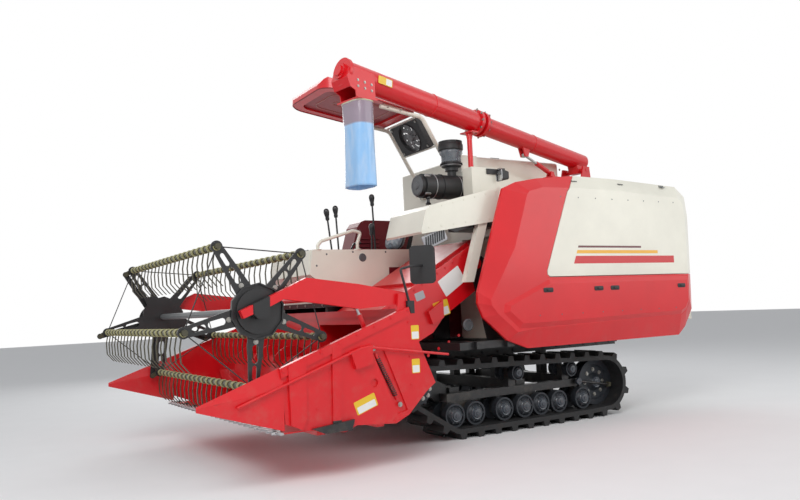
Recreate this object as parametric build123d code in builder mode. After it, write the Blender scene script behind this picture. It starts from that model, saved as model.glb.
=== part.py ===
from build123d import *
import os
from math import atan2, cos, degrees, hypot, radians, sin, sqrt, tan

os.makedirs("parts", exist_ok=True)

# Tracked full-feed rice combine, millimetres.
# +X forward (header end), +Y left, +Z up. Origin on the ground under the middle
# of the whole machine's box.

# ---------------------------------------------------------------- driving sizes
SEAT = 0.3              # standing gap where two pieces meet
FIT = 0.05              # radial clearance of a pin or shaft in its hole
RUN = 12.0              # gap between pieces that pass each other
MID_Y = -250.0          # chassis centreline

# tracks
TRACK_HALF_GAUGE = 721.0
BELT_W = 420.0
BELT_T = 40.0
LUG_H = 45.0
LUG_PITCH = 90.0
LUG_REACH = 0.58        # share of the belt width that one lug covers
SPROCKET_X, SPROCKET_Z, SPROCKET_R = 480.0, 430.0, 150.0
IDLER_X, IDLER_Z, IDLER_R = -1543.0, 308.0, 215.0
ROLLER_R = 100.0
ROLLER_Z = BELT_T + LUG_H + ROLLER_R
ROLLER_XS = (178.0, -38.0, -353.0, -586.0, -781.0, -1001.0, -1304.0)
CARRIER_R = 68.0
CARRIER_XS = (-527.0, -1180.0)
RIM_W = 62.0            # width of one roller rim
RIM_GAP = 120.0         # space between a roller's two rims
AXLE_R = 24.0
SPROCKET_TEETH = 12
TOOTH_H = 16.0
DRIVE_R = 66.0          # final drive's housing
BEAM_W, BEAM_Z0, BEAM_Z1 = 84.0, 292.0, 360.0

# chassis
RAIL_Y = 330.0          # rails stand this far each side of the centreline
RAIL_W, RAIL_Z0, RAIL_Z1 = 80.0, 620.0, 740.0
DECK_Z0, DECK_Z1 = 740.0, 800.0
RAIL_X0, RAIL_X1 = -2300.0, 330.0
TIE_DOWN, TIE_DOWN_R = (-2346.0, 680.0), 18.0
CROSS_XS = (-1275.0, -690.0, 60.0)

# threshing body and its covers
BODY_X0, BODY_X1 = -2420.0, -300.0
BODY_Y0, BODY_Y1 = 120.0, 860.0
BODY_Z1 = 2060.0
COVER_Y0, COVER_Y1 = 900.0, 925.0       # inner face and the edge's outer side
COVER_Y2, BULGE_Y = 985.0, 1010.0        # flat field, raised field of the lower one
SEAM_Z = 1312.0
SEAM_GAP = 6.0

# grain tank
TANK_X0, TANK_X1 = -1830.0, -580.0
TANK_Y0, TANK_Y1 = -1280.0, -60.0
TANK_Z0, TANK_Z1 = 1290.0, 2568.0

# engine cover and operator's platform
ENGINE_X0, ENGINE_X1 = -560.0, 330.0
ENGINE_Y0, ENGINE_Y1 = -1240.0, -110.0
ENGINE_Z1 = 1480.0
SHEET = 15.0
FLOOR_X1, FLOOR_Z1 = 1000.0, 1180.0
CONSOLE_TOP_Z = 1640.0

# air filter
FILTER_Y, FILTER_Z, FILTER_R = 120.0, 2205.0, 112.0

# header, measured with the table carried clear of the ground
HINGE_X, HINGE_Z, HINGE_R = -40.0, 1450.0, 45.0     # feeder's upper shaft
FEEDER_Y0, FEEDER_Y1 = -80.0, 680.0
HEAD_Y0, HEAD_Y1 = -1300.0, 1270.0          # outer faces of the side plates
HEAD_PLATE = 30.0
AUGER_X, AUGER_Z = 1330.0, 600.0
AUGER_DRUM_R, AUGER_R = 150.0, 232.0
TROUGH_R = 256.0
TROUGH_SHEET = 10.0
KNIFE_X = 1990.0
ARM_PIVOT_X, ARM_PIVOT_Z = 1060.0, 1170.0

# cylinders, pins in side view
PIN_R = 12.0
HEAD_CYL_FOOT, HEAD_CYL_EYE, HEAD_CYL_Y = (40.0, 600.0), (760.0, 690.0), 190.0
REEL_CYL_FOOT, REEL_CYL_EYE = (1290.0, 870.0), (1392.0, 1128.0)
NECK = 22.0             # from a barrel's eye to its full width

# reel
REEL_X, REEL_Z = 2105.0, 1123.0
REEL_R = 492.0
REEL_BARS = 5
REEL_FIRST = 31.35      # first bar, degrees from straight up towards the front
BAR_Y0, BAR_Y1 = -1190.0, 1177.0
BAR_R = 19.0
SPIDER_LEFT_Y, SPIDER_RIGHT_Y = 1140.0, -1160.0
SPIDER_T = 12.0
CRANK_X, CRANK_Z = 52.0, -30.0              # crank from bar to control ring
TINE_PITCH = 110.0
TINE_DROP, TINE_BACK = 250.0, 46.0
TINE_W = 8.0

# unloading auger
COLUMN_X, COLUMN_Y, COLUMN_R = -1980.0, 30.0, 85.0
BOOM_YAW = 9.74         # degrees to the left of straight ahead
BOOM_RISE = 7.7         # degrees above level
BOOM_PIN_Z, BOOM_AXIS_Z = 2470.0, 2590.0
BOOM_LEN = 3100.0
BOOM_FRONT_R, BOOM_REAR_R = 100.0, 88.0
BOOM_SPLIT = 1545.0


# ---------------------------------------------------------------- shared helpers
def face_plane(y):
    """Side view at y: local X is forward, local Y is up, normal points right."""
    return Plane((0, y, 0), x_dir=(1, 0, 0), z_dir=(0, -1, 0))


def block(x0, x1, y0, y1, z0, z1, mode=Mode.ADD):
    """Box between two corners."""
    with Locations(((x0 + x1) / 2, (y0 + y1) / 2, (z0 + z1) / 2)):
        Box(abs(x1 - x0), abs(y1 - y0), abs(z1 - z0), mode=mode)


def profile(points, y0, y1, mode=Mode.ADD):
    """Plate or prism with the given side view, between y0 and y1."""
    with BuildSketch(face_plane(max(y0, y1))) as view:
        with BuildLine():
            Polyline(*points, close=True)
        make_face()
    extrude(view.sketch, amount=abs(y1 - y0), mode=mode)


def cross_bar(x, z, radius, y0, y1, mode=Mode.ADD):
    """Round bar lying across the machine."""
    with Locations((x, (y0 + y1) / 2, z)):
        Cylinder(radius, abs(y1 - y0), rotation=(90, 0, 0), mode=mode)


def upright(x, y, radius, z0, z1, mode=Mode.ADD):
    with Locations((x, y, (z0 + z1) / 2)):
        Cylinder(radius, z1 - z0, mode=mode)


def rod(start, end, radius, mode=Mode.ADD):
    """Straight round bar between two points."""
    a, b = Vector(*start), Vector(*end)
    with BuildSketch(Plane(a, z_dir=(b - a).normalized())) as end_view:
        Circle(radius)
    extrude(end_view.sketch, amount=(b - a).length, mode=mode)


def pipe(points, radius, bend):
    """Bent pipe through the points, with one radius at the bends."""
    with BuildLine() as path:
        FilletPolyline(*points, radius=bend)
    with BuildSketch(Plane(path.line @ 0, z_dir=path.line % 0)) as section:
        Circle(radius)
    sweep(section.sketch, path=path.line)


def save(part, name):
    part.label = name
    export_step(part, f"parts/{name}.step")


def side_view(points, y):
    """Flat face with the given side view, at y."""
    with BuildSketch(face_plane(y)) as view:
        with BuildLine():
            Polyline(*points, close=True)
        make_face()
    return view.sketch


def tapered(base, y0, top, y1):
    """Raised field between a polygon at y0 and a matching one at y1."""
    loft(sections=[side_view(base, y0), side_view(top, y1)], ruled=True)


SIDES = (("left", 1.0), ("right", -1.0))


def side_y(sign, offset):
    """Y of a point that lies offset outboard of a track's middle."""
    return MID_Y + sign * (TRACK_HALF_GAUGE + offset)


# ---------------------------------------------------------------- tracks
WHEELS = (              # x, z, radius of what the belt runs round
    (SPROCKET_X, SPROCKET_Z, SPROCKET_R),
    (IDLER_X, IDLER_Z, IDLER_R),
    (ROLLER_XS[0], ROLLER_Z, ROLLER_R),
    (ROLLER_XS[-1], ROLLER_Z, ROLLER_R),
)


def belt_outline(grow):
    """Closed outline of the belt at a height above its inner face."""
    with BuildSketch() as outline:
        with BuildLine():
            for x, z, radius in WHEELS:
                CenterArc((x, z), radius + grow, 0, 360)
        make_hull()
    return outline.sketch


OUTER = belt_outline(BELT_T).faces()[0].outer_wire()
LUG_COUNT = int(OUTER.length / LUG_PITCH / 2) * 2


def lug_ring(first):
    """Side view of the belt with every second lug."""
    with BuildSketch() as ring:
        add(belt_outline(BELT_T))
        for i in range(first, LUG_COUNT, 2):
            spot = OUTER.position_at(i / LUG_COUNT)
            way = OUTER.tangent_at(i / LUG_COUNT)
            out = Vector(way.Y, -way.X)
            middle = Vector(SPROCKET_X - 900, 300)
            if (spot - middle).dot(out) < 0:
                out = out * -1
            root, crest, sink = LUG_PITCH * 0.42, LUG_PITCH * 0.25, 8.0
            corners = [
                spot - way * root - out * sink,
                spot + way * root - out * sink,
                spot + way * crest + out * LUG_H,
                spot - way * crest + out * LUG_H,
            ]
            with BuildLine():
                Polyline(*[(c.X, c.Y) for c in corners], close=True)
            make_face()
        add(belt_outline(0.0), mode=Mode.SUBTRACT)
    return ring.sketch


RINGS = (lug_ring(0), lug_ring(1))

for name, sign in SIDES:
    with BuildPart() as track:
        for ring, near in zip(RINGS, (0.5 - LUG_REACH, -0.5)):
            y0 = side_y(sign, near * BELT_W)
            y1 = side_y(sign, (near + LUG_REACH) * BELT_W)
            with BuildSketch(face_plane(max(y0, y1))):
                add(ring)
            extrude(amount=abs(y1 - y0))
    save(track.part, f"track_{name}")


def belt_inner_z(x):
    """Height of the upper run's inner face over x."""
    dx, dz = SPROCKET_X - IDLER_X, SPROCKET_Z - IDLER_Z
    slope = atan2(dz, dx) - atan2(IDLER_R - SPROCKET_R, sqrt(dx * dx + dz * dz))
    top_x = IDLER_X - IDLER_R * sin(slope)
    top_z = IDLER_Z + IDLER_R * cos(slope)
    return top_z + (x - top_x) * tan(slope)


CARRIER_Z = [belt_inner_z(x) - CARRIER_R - SEAT for x in CARRIER_XS]
RIM_OUT = RIM_GAP / 2 + RIM_W


def rim_pair(x, y, z, radius):
    """Roller with two rims, an axle between them and hub caps outside."""
    inner = RIM_GAP / 2
    outline = (
        (0, 0), (0, AXLE_R + 8), (inner, AXLE_R + 8), (inner, radius), (RIM_OUT, radius),
        (RIM_OUT, radius * 0.84), (RIM_OUT - 10, radius * 0.8), (RIM_OUT + 10, radius * 0.62),
        (RIM_OUT + 10, 0),
    )
    points = [(x + r, y + s) for s, r in outline]
    with BuildSketch(Plane((0, 0, z))) as half:
        with BuildLine():
            Polyline(*points, close=True)
        make_face()
        with BuildLine():
            Polyline(*[(px, 2 * y - py) for px, py in points], close=True)
        make_face()
    revolve(half.sketch, axis=Axis((x, y, z), (0, 1, 0)))


with BuildPart() as rollers:
    for _, sign in SIDES:
        y = side_y(sign, 0)
        for x in ROLLER_XS:
            rim_pair(x, y, ROLLER_Z + SEAT, ROLLER_R)
        for x, z in zip(CARRIER_XS, CARRIER_Z):
            rim_pair(x, y, z, CARRIER_R)
save(rollers.part, "road_rollers")

with BuildPart() as sprockets:
    for _, sign in SIDES:
        y = side_y(sign, 0)
        with BuildSketch(face_plane(y + 30)):
            with Locations((SPROCKET_X, SPROCKET_Z)):
                Circle(SPROCKET_R - TOOTH_H)
                with PolarLocations(SPROCKET_R - TOOTH_H, SPROCKET_TEETH):
                    Rectangle(2 * TOOTH_H - 2, 26)
        extrude(amount=60)
        cross_bar(SPROCKET_X, SPROCKET_Z, 88, y - 30, y + sign * 100)
        cross_bar(SPROCKET_X, SPROCKET_Z, 52, y - 30, y + sign * 118)
save(sprockets.part, "drive_sprockets")

with BuildPart() as idlers:
    for _, sign in SIDES:
        y = side_y(sign, 0)
        outline = (
            (0, 0), (0, 60), (16, 60), (16, IDLER_R - SEAT), (54, IDLER_R - SEAT),
            (54, IDLER_R - 50), (34, IDLER_R - 60), (34, 88), (50, 70), (66, 56), (66, 0),
        )
        for flip in (1, -1):
            with BuildSketch(Plane((0, 0, IDLER_Z))):
                with BuildLine():
                    Polyline(*[(IDLER_X + r, y + flip * s) for s, r in outline], close=True)
                make_face()
            revolve(axis=Axis((IDLER_X, y, IDLER_Z), (0, 1, 0)))
save(idlers.part, "idler_wheels")

# ---------------------------------------------------------------- track frames
PAIRS = ((178.0, -38.0), (-353.0,), (-586.0, -781.0), (-1001.0,), (-1304.0,))
with BuildPart() as frames:
    for _, sign in SIDES:
        y = side_y(sign, 0)
        half = BEAM_W / 2
        block(-1400, 200, y - half, y + half, BEAM_Z0, BEAM_Z1)
        profile(((120, BEAM_Z0), (120, 420), (300, 510), (470, 510), (470, 440),
                 (330, 380), (240, BEAM_Z0)), y - sign * 100, y - sign * 70)
        block(120, 200, y - sign * 100, y - sign * half, BEAM_Z0, BEAM_Z1)
        cross_bar(SPROCKET_X, SPROCKET_Z, DRIVE_R + SEAT, y - sign * 101, y - sign * 69,
                  Mode.SUBTRACT)
        for group in PAIRS:
            x_mid = sum(group) / len(group)
            reach = (max(group) - min(group)) / 2 + 46
            profile(((x_mid - reach, ROLLER_Z - 38), (x_mid + reach, ROLLER_Z - 38),
                     (x_mid + reach, ROLLER_Z + 40), (x_mid + reach - 34, BEAM_Z0 + 4),
                     (x_mid - reach + 34, BEAM_Z0 + 4), (x_mid - reach, ROLLER_Z + 40)),
                    y - 34, y + 34)
            for x in group:
                cross_bar(x, ROLLER_Z + SEAT, AXLE_R + 8 + SEAT, y - 60, y + 60, Mode.SUBTRACT)
        for x, z in zip(CARRIER_XS, CARRIER_Z):
            block(x - 40, x + 40, y - 30, y + 30, BEAM_Z1 - 4, z + 38)
            cross_bar(x, z, AXLE_R + 8 + SEAT, y - 60, y + 60, Mode.SUBTRACT)
        cross_bar(IDLER_X, IDLER_Z, IDLER_R + 6, y - 60, y + 60, Mode.SUBTRACT)
        block(IDLER_X + 61, -1310, y - 13, y + 13, BEAM_Z0, BEAM_Z0 + 50)
save(frames.part, "track_frames")

# ---------------------------------------------------------------- chassis
CROSS_MEMBERS = (-2250, -1700, -1150, -600, -210, 110, 280)
SILL_Y0, SILL_Y1 = -1230.0, 860.0
SILL_W = 80.0

# every beam is a solid of its own, seated on its neighbours
with BuildPart() as chassis:
    for sign in (1, -1):
        yc = MID_Y + sign * RAIL_Y
        block(RAIL_X0, RAIL_X1, yc - RAIL_W / 2, yc + RAIL_W / 2, RAIL_Z0, RAIL_Z1)
        for x in CROSS_XS:
            block(x - 40, x + 40, yc - 35, yc + 35, 400 + SEAT, RAIL_Z0 - SEAT)
        x, z = TIE_DOWN
        profile(((RAIL_X0 - SEAT, z - 40), (RAIL_X0 - SEAT, z + 40), (x - 12, z + 40),
                 (x - 34, z + 18), (x - 34, z - 18), (x - 12, z - 40)), yc - 10, yc + 10)
        cross_bar(x, z, TIE_DOWN_R, yc - 11, yc + 11, Mode.SUBTRACT)
    for x in CROSS_XS:
        inner = TRACK_HALF_GAUGE - BEAM_W / 2
        block(x - 50, x + 50, MID_Y - inner, MID_Y + inner, 300, 400)
    for x in CROSS_MEMBERS:
        block(x - 40, x + 40, SILL_Y0 + SILL_W + SEAT, SILL_Y1 - SILL_W - SEAT,
              DECK_Z0 + SEAT, DECK_Z1)
        block(x - 40, x + 40, SILL_Y1 + SEAT, COVER_Y0 - SEAT, DECK_Z0, DECK_Z1)
    block(-2290, 320, SILL_Y1 - SILL_W, SILL_Y1, DECK_Z0, DECK_Z1)
    block(-2290, 320, SILL_Y0, SILL_Y0 + SILL_W, DECK_Z0, DECK_Z1)
save(chassis.part, "chassis_frame")

# ears and pin for the header cylinder, under the foremost cross members
with BuildPart() as bracket:
    px, pz = HEAD_CYL_FOOT
    top = DECK_Z0 - SEAT
    for side in (-1, 1):
        profile(((px - 60, top), (px + 50, top), (px + 26, pz), (px + 16, pz - 26),
                 (px - 16, pz - 26), (px - 36, pz)),
                HEAD_CYL_Y + side * 28, HEAD_CYL_Y + side * 40)
    cross_bar(px, pz, PIN_R, HEAD_CYL_Y - 40, HEAD_CYL_Y + 40)
    block(px - 70, px + 110, MID_Y + RAIL_Y + RAIL_W / 2 + SEAT, HEAD_CYL_Y + 42,
          DECK_Z0 - 30, top)
save(bracket.part, "header_cylinder_bracket")

# gearbox with the final drives that carry the sprockets
with BuildPart() as gearbox:
    block(300, 560, -620, 120, 350, 600)
    block(240, 400, MID_Y - RAIL_Y - 40, MID_Y + RAIL_Y + 40, 560, RAIL_Z0 - SEAT)
    for _, sign in SIDES:
        inner = MID_Y + sign * 300
        cross_bar(SPROCKET_X, SPROCKET_Z, DRIVE_R, inner, side_y(sign, 0) - sign * (30 + SEAT))
save(gearbox.part, "drive_gearbox")

# plates that carry the feeder's upper shaft
with BuildPart() as hinge_plates:
    for y0 in (FEEDER_Y1 + RUN, FEEDER_Y0 - RUN - 16):
        profile(((-300, DECK_Z1 + SEAT), (-120, DECK_Z1 + SEAT), (HINGE_X + 60, HINGE_Z - 40),
                 (HINGE_X + 60, HINGE_Z + 60), (HINGE_X - 60, HINGE_Z + 60),
                 (-300, HINGE_Z - 60)), y0, y0 + 16)
        cross_bar(HINGE_X, HINGE_Z, HINGE_R + FIT, y0 - 1, y0 + 17, Mode.SUBTRACT)
save(hinge_plates.part, "feeder_hinge_plates")

with BuildPart() as engine:
    block(-430, 180, -1090, -420, DECK_Z1 + 20, 1400)
    for x in (-210, 110):
        block(x - 30, x + 30, -1000, -500, DECK_Z1, DECK_Z1 + 21)
save(engine.part, "engine_block")

# ---------------------------------------------------------------- threshing body
INLET_X = BODY_X1 - 160.0
INLET_Y0, INLET_Y1 = BODY_Y0 + 60.0, BODY_Y1 - 200.0
INLET_Z0, INLET_Z1 = 1220.0, 1700.0
with BuildPart() as body:
    profile(((BODY_X0, DECK_Z1 + SEAT), (INLET_X - SEAT, DECK_Z1 + SEAT), (INLET_X - SEAT, BODY_Z1),
             (BODY_X0 + 260, BODY_Z1), (BODY_X0, BODY_Z1 - 200)), BODY_Y0, BODY_Y1)
    # four walls round the inlet that the feeder fills
    block(INLET_X, BODY_X1, BODY_Y0, BODY_Y1, DECK_Z1 + SEAT, INLET_Z0)
    profile(((INLET_X, INLET_Z1), (BODY_X1, INLET_Z1), (BODY_X1, BODY_Z1 - 60),
             (BODY_X1 - 120, BODY_Z1), (INLET_X, BODY_Z1)), BODY_Y0, BODY_Y1)
    block(INLET_X, BODY_X1, BODY_Y0, INLET_Y0, INLET_Z0 + SEAT, INLET_Z1 - SEAT)
    block(INLET_X, BODY_X1, INLET_Y1, BODY_Y1, INLET_Z0 + SEAT, INLET_Z1 - SEAT)
    for x in (-2200, -1500, -800, -400):
        for z in (1000, 1850):
            block(x - 30, x + 30, BODY_Y1 + SEAT, COVER_Y0 - SEAT, z, z + 60)
save(body.part, "thresher_body")

with BuildPart() as hood:
    profile(((BODY_X0, 1000), (BODY_X0, 1780), (BODY_X0 - 180, 1700), (BODY_X0 - 220, 1300),
             (BODY_X0 - 220, 860), (BODY_X0 - 180, 860)), BODY_Y0 + 20, BODY_Y1 - 20)
    # open underside where the straw falls
    profile(((BODY_X0 + 1, 1100), (BODY_X0 + 1, 1640), (BODY_X0 - 160, 1580),
             (BODY_X0 - 196, 1280), (BODY_X0 - 196, 850), (BODY_X0 - 172, 850)),
            BODY_Y0 + 44, BODY_Y1 - 44, Mode.SUBTRACT)
save(hood.part, "straw_hood")

# one blank for both side covers, cut apart along the seam
COVER_EDGE = (          # side view of the rim, x and z
    (-338, 2127), (-192, 2066), (-20, 1604), (130, 1200), (137, 1110), (87, 992),
    (-149, 796), (-369, 716), (-2317, 717), (-2423, 797), (-2541, 964), (-2560, 1327),
    (-2578, 1888), (-2551, 2081), (-2415, 2180), (-1529, 2213), (-1025, 2216), (-573, 2170),
)
COVER_FIELD = (         # where the slope from the rim meets the flat field
    (-440, 2046), (-408, 2012), (-239, 1559), (47, 1133), (39, 1084), (-29, 1010),
    (-220, 858), (-430, 878), (-2300, 912), (-2380, 950), (-2440, 1040), (-2450, 1330),
    (-2460, 1860), (-2440, 2000), (-2370, 2060), (-1500, 2095), (-1020, 2096), (-590, 2084),
)
SEAM = ((-1045, 2240), (-884, 2058), (-588, 1360), (-590, 1330), (-612, SEAM_Z))
BULGE_BASE = (
    (-600, 1290), (-2436, 1290), (-2436, 1044), (-2376, 954), (-2296, 916), (-440, 884),
    (-240, 886), (-80, 1020), (-90, 1095),
)
BULGE_TOP = (
    (-588, 1248), (-2396, 1248), (-2396, 1056), (-2350, 990), (-2285, 958), (-445, 926),
    (-262, 930), (-128, 1034), (-140, 1076),
)


def cover_blank():
    profile(COVER_EDGE, COVER_Y0, COVER_Y1)
    tapered(COVER_EDGE, COVER_Y1, COVER_FIELD, COVER_Y2)


def upper_field(grow, mode):
    """The upper cover's share of the blank, grown across the seam."""
    with BuildSketch(face_plane(BULGE_Y)) as view:
        with BuildLine():
            Polyline((-1045, 2400), *SEAM, (-2800, SEAM_Z), (-2800, 2400), close=True)
        make_face()
        if grow:
            offset(amount=grow, kind=Kind.INTERSECTION)
    extrude(view.sketch, amount=BULGE_Y - COVER_Y0 + 1, mode=mode)


with BuildPart() as cream_cover:
    cover_blank()
    upper_field(0, Mode.INTERSECT)
save(cream_cover.part, "side_cover_upper")

with BuildPart() as red_cover:
    cover_blank()
    upper_field(SEAM_GAP, Mode.SUBTRACT)
    tapered(BULGE_BASE, COVER_Y2 - 1, BULGE_TOP, BULGE_Y)
save(red_cover.part, "side_cover_lower")

# cream shroud over the front drives, with the post that closes the feeder's back end
with BuildPart() as shroud:
    edge = ((-262, 2100), (371, 1945), (470, 1918), (520, 1880), (575, 1700), (565, 1684),
            (-180, 1800))
    profile(edge, 790, 810)
    profile(((-262, 2100), (371, 1945), (470, 1918), (520, 1880), (575, 1700), (563, 1684),
             (505, 1868), (460, 1904), (365, 1930), (-258, 2084)), 262, 791)
    profile(((-150, 1880), (-60, 1880), (150, 1290), (60, 1290)), 735, 790.5)
    block(-200, -150, 320, 680, 1990 + SEAT, 2066)
save(shroud.part, "front_shroud")

# belt drives behind the shroud
with BuildPart() as drives:
    block(BODY_X1, -60, 300, 700, 1760, 1990)
    for x, z, r in ((-120, 1880, 110), (180, 1800, 85)):
        cross_bar(x, z, r, 699, 732)
    profile(((-160, 1982), (200, 1882), (200, 1718), (-160, 1778)), 706, 726)
    block(-62, 230, 640, 705, 1780, 1860)
save(drives.part, "belt_drives")

# ---------------------------------------------------------------- grain tank
with BuildPart() as tank:
    block(TANK_X0, TANK_X1, TANK_Y0, TANK_Y1, TANK_Z0 + 260, TANK_Z1)
    fillet(tank.edges().filter_by(Axis.Z), 60)
    fillet(tank.faces().sort_by(Axis.Z)[-1].edges(), 24)
    under = TANK_Z0 + 260 - SEAT
    profile(((TANK_X0 + 40, under), (TANK_X1 - 20, under), (TANK_X1 - 20, DECK_Z1 + SEAT),
             (-900, DECK_Z1 + SEAT), (TANK_X0 + 40, TANK_Z0)), TANK_Y0 + 20, TANK_Y1 - 20)
    # grain elevator beside it, with the shoulder that carries the unloader's rest
    beside = TANK_X1 + SEAT
    block(beside, -387, ENGINE_Y1 + 4, 110, 1300, TANK_Z1 - 40)
    block(beside, -387, 110 + SEAT, 380, BODY_Z1 + SEAT, 2360)
    block(-387 + SEAT, -300, FILTER_Y + FILTER_R + 8, 380, BODY_Z1 + SEAT, 2360)
    block(beside, -420, TANK_Y1, BODY_Y0 - SEAT, DECK_Z1 + SEAT, 1300 - SEAT)
save(tank.part, "grain_tank")

# ---------------------------------------------------------------- engine cover, platform
DOOR_Y = ENGINE_Y0 - 8
DOOR_HINGE_ZS = (DECK_Z1 + 120, ENGINE_Z1 - 150)
with BuildPart() as cover:
    block(ENGINE_X0, ENGINE_X1, ENGINE_Y0, ENGINE_Y1, DECK_Z1, ENGINE_Z1)
    block(ENGINE_X0 + SHEET, ENGINE_X1 - SHEET, ENGINE_Y0 - 1, ENGINE_Y1 - SHEET,
          DECK_Z1 - 1, ENGINE_Z1 - SHEET, Mode.SUBTRACT)
    profile(((-480, ENGINE_Z1 - 1), (-480, 2000), (-440, 2030), (60, 2030), (110, 2010),
             (150, 1960), (215, 1740), (190, ENGINE_Z1 - 1)), ENGINE_Y0, -1000)
    for z in DOOR_HINGE_ZS:
        upright(ENGINE_X0 + 2, DOOR_Y - 12, 4, z - 30, z + 60)
        upright(ENGINE_X0 + 2, DOOR_Y - 12, 7.5, z - 30, z - SEAT)
        block(ENGINE_X0, ENGINE_X0 + 8, DOOR_Y - 12, ENGINE_Y0 + 1, z - 30, z - SEAT)
save(cover.part, "engine_cover")

with BuildPart() as door:
    block(ENGINE_X0 + 10, ENGINE_X1 - 4, DOOR_Y - 24, DOOR_Y, DECK_Z1 + 30, ENGINE_Z1 - 10)
    block(ENGINE_X0 + 80, ENGINE_X1 - 74, DOOR_Y - 25, DOOR_Y - 14, DECK_Z1 + 100,
          ENGINE_Z1 - 80, Mode.SUBTRACT)
    for i in range(9):
        z = DECK_Z1 + 130 + i * 58
        block(ENGINE_X0 + 79, ENGINE_X1 - 73, DOOR_Y - 20, DOOR_Y - 13, z, z + 18)
    for z in DOOR_HINGE_ZS:
        upright(ENGINE_X0 + 2, DOOR_Y - 12, 7.5, z, z + 60)
        block(ENGINE_X0 + 2, ENGINE_X0 + 14, DOOR_Y - 17, DOOR_Y - 7, z, z + 60)
        upright(ENGINE_X0 + 2, DOOR_Y - 12, 4 + FIT, z - 1, z + 61, Mode.SUBTRACT)
save(door.part, "screen_door")

with BuildPart() as platform:
    block(ENGINE_X1, FLOOR_X1, ENGINE_Y0, ENGINE_Y1, FLOOR_Z1 - 40, FLOOR_Z1)
    for y in (-1150, -220):
        profile(((ENGINE_X1, DECK_Z1 + 40), (ENGINE_X1, FLOOR_Z1 - 39),
                 (FLOOR_X1 - 60, FLOOR_Z1 - 39), (FLOOR_X1 - 60, FLOOR_Z1 - 80)), y, y + 40)
save(platform.part, "platform_floor")

with BuildPart() as console:
    profile(((-80, ENGINE_Z1), (-80, CONSOLE_TOP_Z + 6), (1095, CONSOLE_TOP_Z),
             (1130, 1425), (990, 1330), (990, FLOOR_Z1), (ENGINE_X1 + 2, FLOOR_Z1),
             (ENGINE_X1 + 2, ENGINE_Z1)), -150, ENGINE_Y1 - 2)
    profile(((860, FLOOR_Z1), (990, FLOOR_Z1), (990, 1330), (1130, 1425),
             (1100, CONSOLE_TOP_Z), (940, CONSOLE_TOP_Z - 20), (860, 1480)), -1000, -149)
save(console.part, "console")

LEVERS = (              # foot x, y, top x, z
    (780, -330, 830, 1950), (735, -300, 758, 1975), (400, -215, 420, 2080),
    (480, -160, 470, 1800),
)
with BuildPart() as levers:
    for x, y, top_x, top_z in LEVERS:
        foot_y = min(y, -160)
        rod((x, foot_y, 1500), (top_x, foot_y, top_z), 8)
        rod((top_x, foot_y, top_z - 4), (top_x, foot_y, top_z + 62), 17)
    block(300, 840, -370, -151, 1481, 1560)
    block(331, 840, -370, -151, FLOOR_Z1, 1482)
save(levers.part, "control_levers")

with BuildPart() as rail:
    y = -131
    pipe(((1034, y, CONSOLE_TOP_Z + 0.8), (1034, y, 1680), (1000, y, 1716), (680, y, 1812),
          (604, y, 1796), (640, y, 1700), (640, y, CONSOLE_TOP_Z + 2.8)), 15, 18)
save(rail.part, "handrail")

with BuildPart() as seat_frame:
    block(-86, 300, -800, -400, ENGINE_Z1, 1520)
    block(-60, 380, -790, -410, 1519, 1545)
    for y in (-780, -440):
        profile(((-84, 1500), (-54, 1500), (-62, 1640), (-150 - SEAT, 1900), (-176, 1890),
                 (-104, 1640)), y, y + 20)
save(seat_frame.part, "seat_frame")

with BuildPart() as cushion:
    block(-40, 420, -830, -370, 1545.5, 1660)
    fillet(cushion.edges().filter_by(Axis.Z), 60)
    fillet(cushion.faces().sort_by(Axis.Z)[-1].edges(), 30)
save(cushion.part, "seat_cushion")

with BuildPart() as backrest:
    profile(((-52, 1660 + SEAT), (28, 1660 + SEAT), (0, 1760), (-60, 1960), (-110, 2060),
             (-150, 2076), (-180, 2050), (-150, 1930)), -755, -445)
    with BuildSketch(Plane.YZ.offset(-200)) as front:
        with Locations((-600, 1840)):
            RectangleRounded(310, 480, 90)
    extrude(front.sketch, amount=260, mode=Mode.INTERSECT)
save(backrest.part, "seat_back")

# ---------------------------------------------------------------- canopy
CANOPY_X0, CANOPY_X1 = -118.0, 904.0
CANOPY_Y0, CANOPY_Y1 = -970.0, -130.0
CANOPY_MID_Y = (CANOPY_Y0 + CANOPY_Y1) / 2
CANOPY_HALF = (CANOPY_Y1 - CANOPY_Y0) / 2
RIM_Z, RIM_SLOPE = 2976.0, 0.144        # underside of the rim at x = -130, rising forward
CORNER_R = 170.0


def rim_z(x):
    return RIM_Z + (x + 130) * RIM_SLOPE


def canopy_run(points, x0, length, mode=Mode.ADD):
    """Prism along the canopy's slope; points are y from its middle and height over the rim."""
    way = Vector(1, 0, RIM_SLOPE).normalized()
    with BuildSketch(Plane((x0, CANOPY_MID_Y, rim_z(x0)), x_dir=(0, 1, 0), z_dir=way)) as end:
        with BuildLine():
            Polyline(*points, close=True)
        make_face()
    extrude(end.sketch, amount=length, mode=mode)


def canopy_plan(inset, corner, mode):
    """Rounded rectangle of the canopy's plan, standing through its whole height."""
    length, width = CANOPY_X1 - CANOPY_X0 - 2 * inset, 2 * (CANOPY_HALF - inset)
    with BuildSketch(Plane(((CANOPY_X0 + CANOPY_X1) / 2, CANOPY_MID_Y, RIM_Z - 200))) as plan:
        RectangleRounded(length, width, corner)
    extrude(plan.sketch, amount=700, mode=mode)


CROWN = ((0, 44), (22, 82), (70, 112), (170, 134), (300, 146))    # in from the edge, up
with BuildPart() as recess:
    canopy_run(((-CANOPY_HALF, -60), (CANOPY_HALF, -60), (CANOPY_HALF, 22),
                (-CANOPY_HALF, 22)), CANOPY_X0, 1200)
    canopy_plan(95, 110, Mode.INTERSECT)

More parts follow.
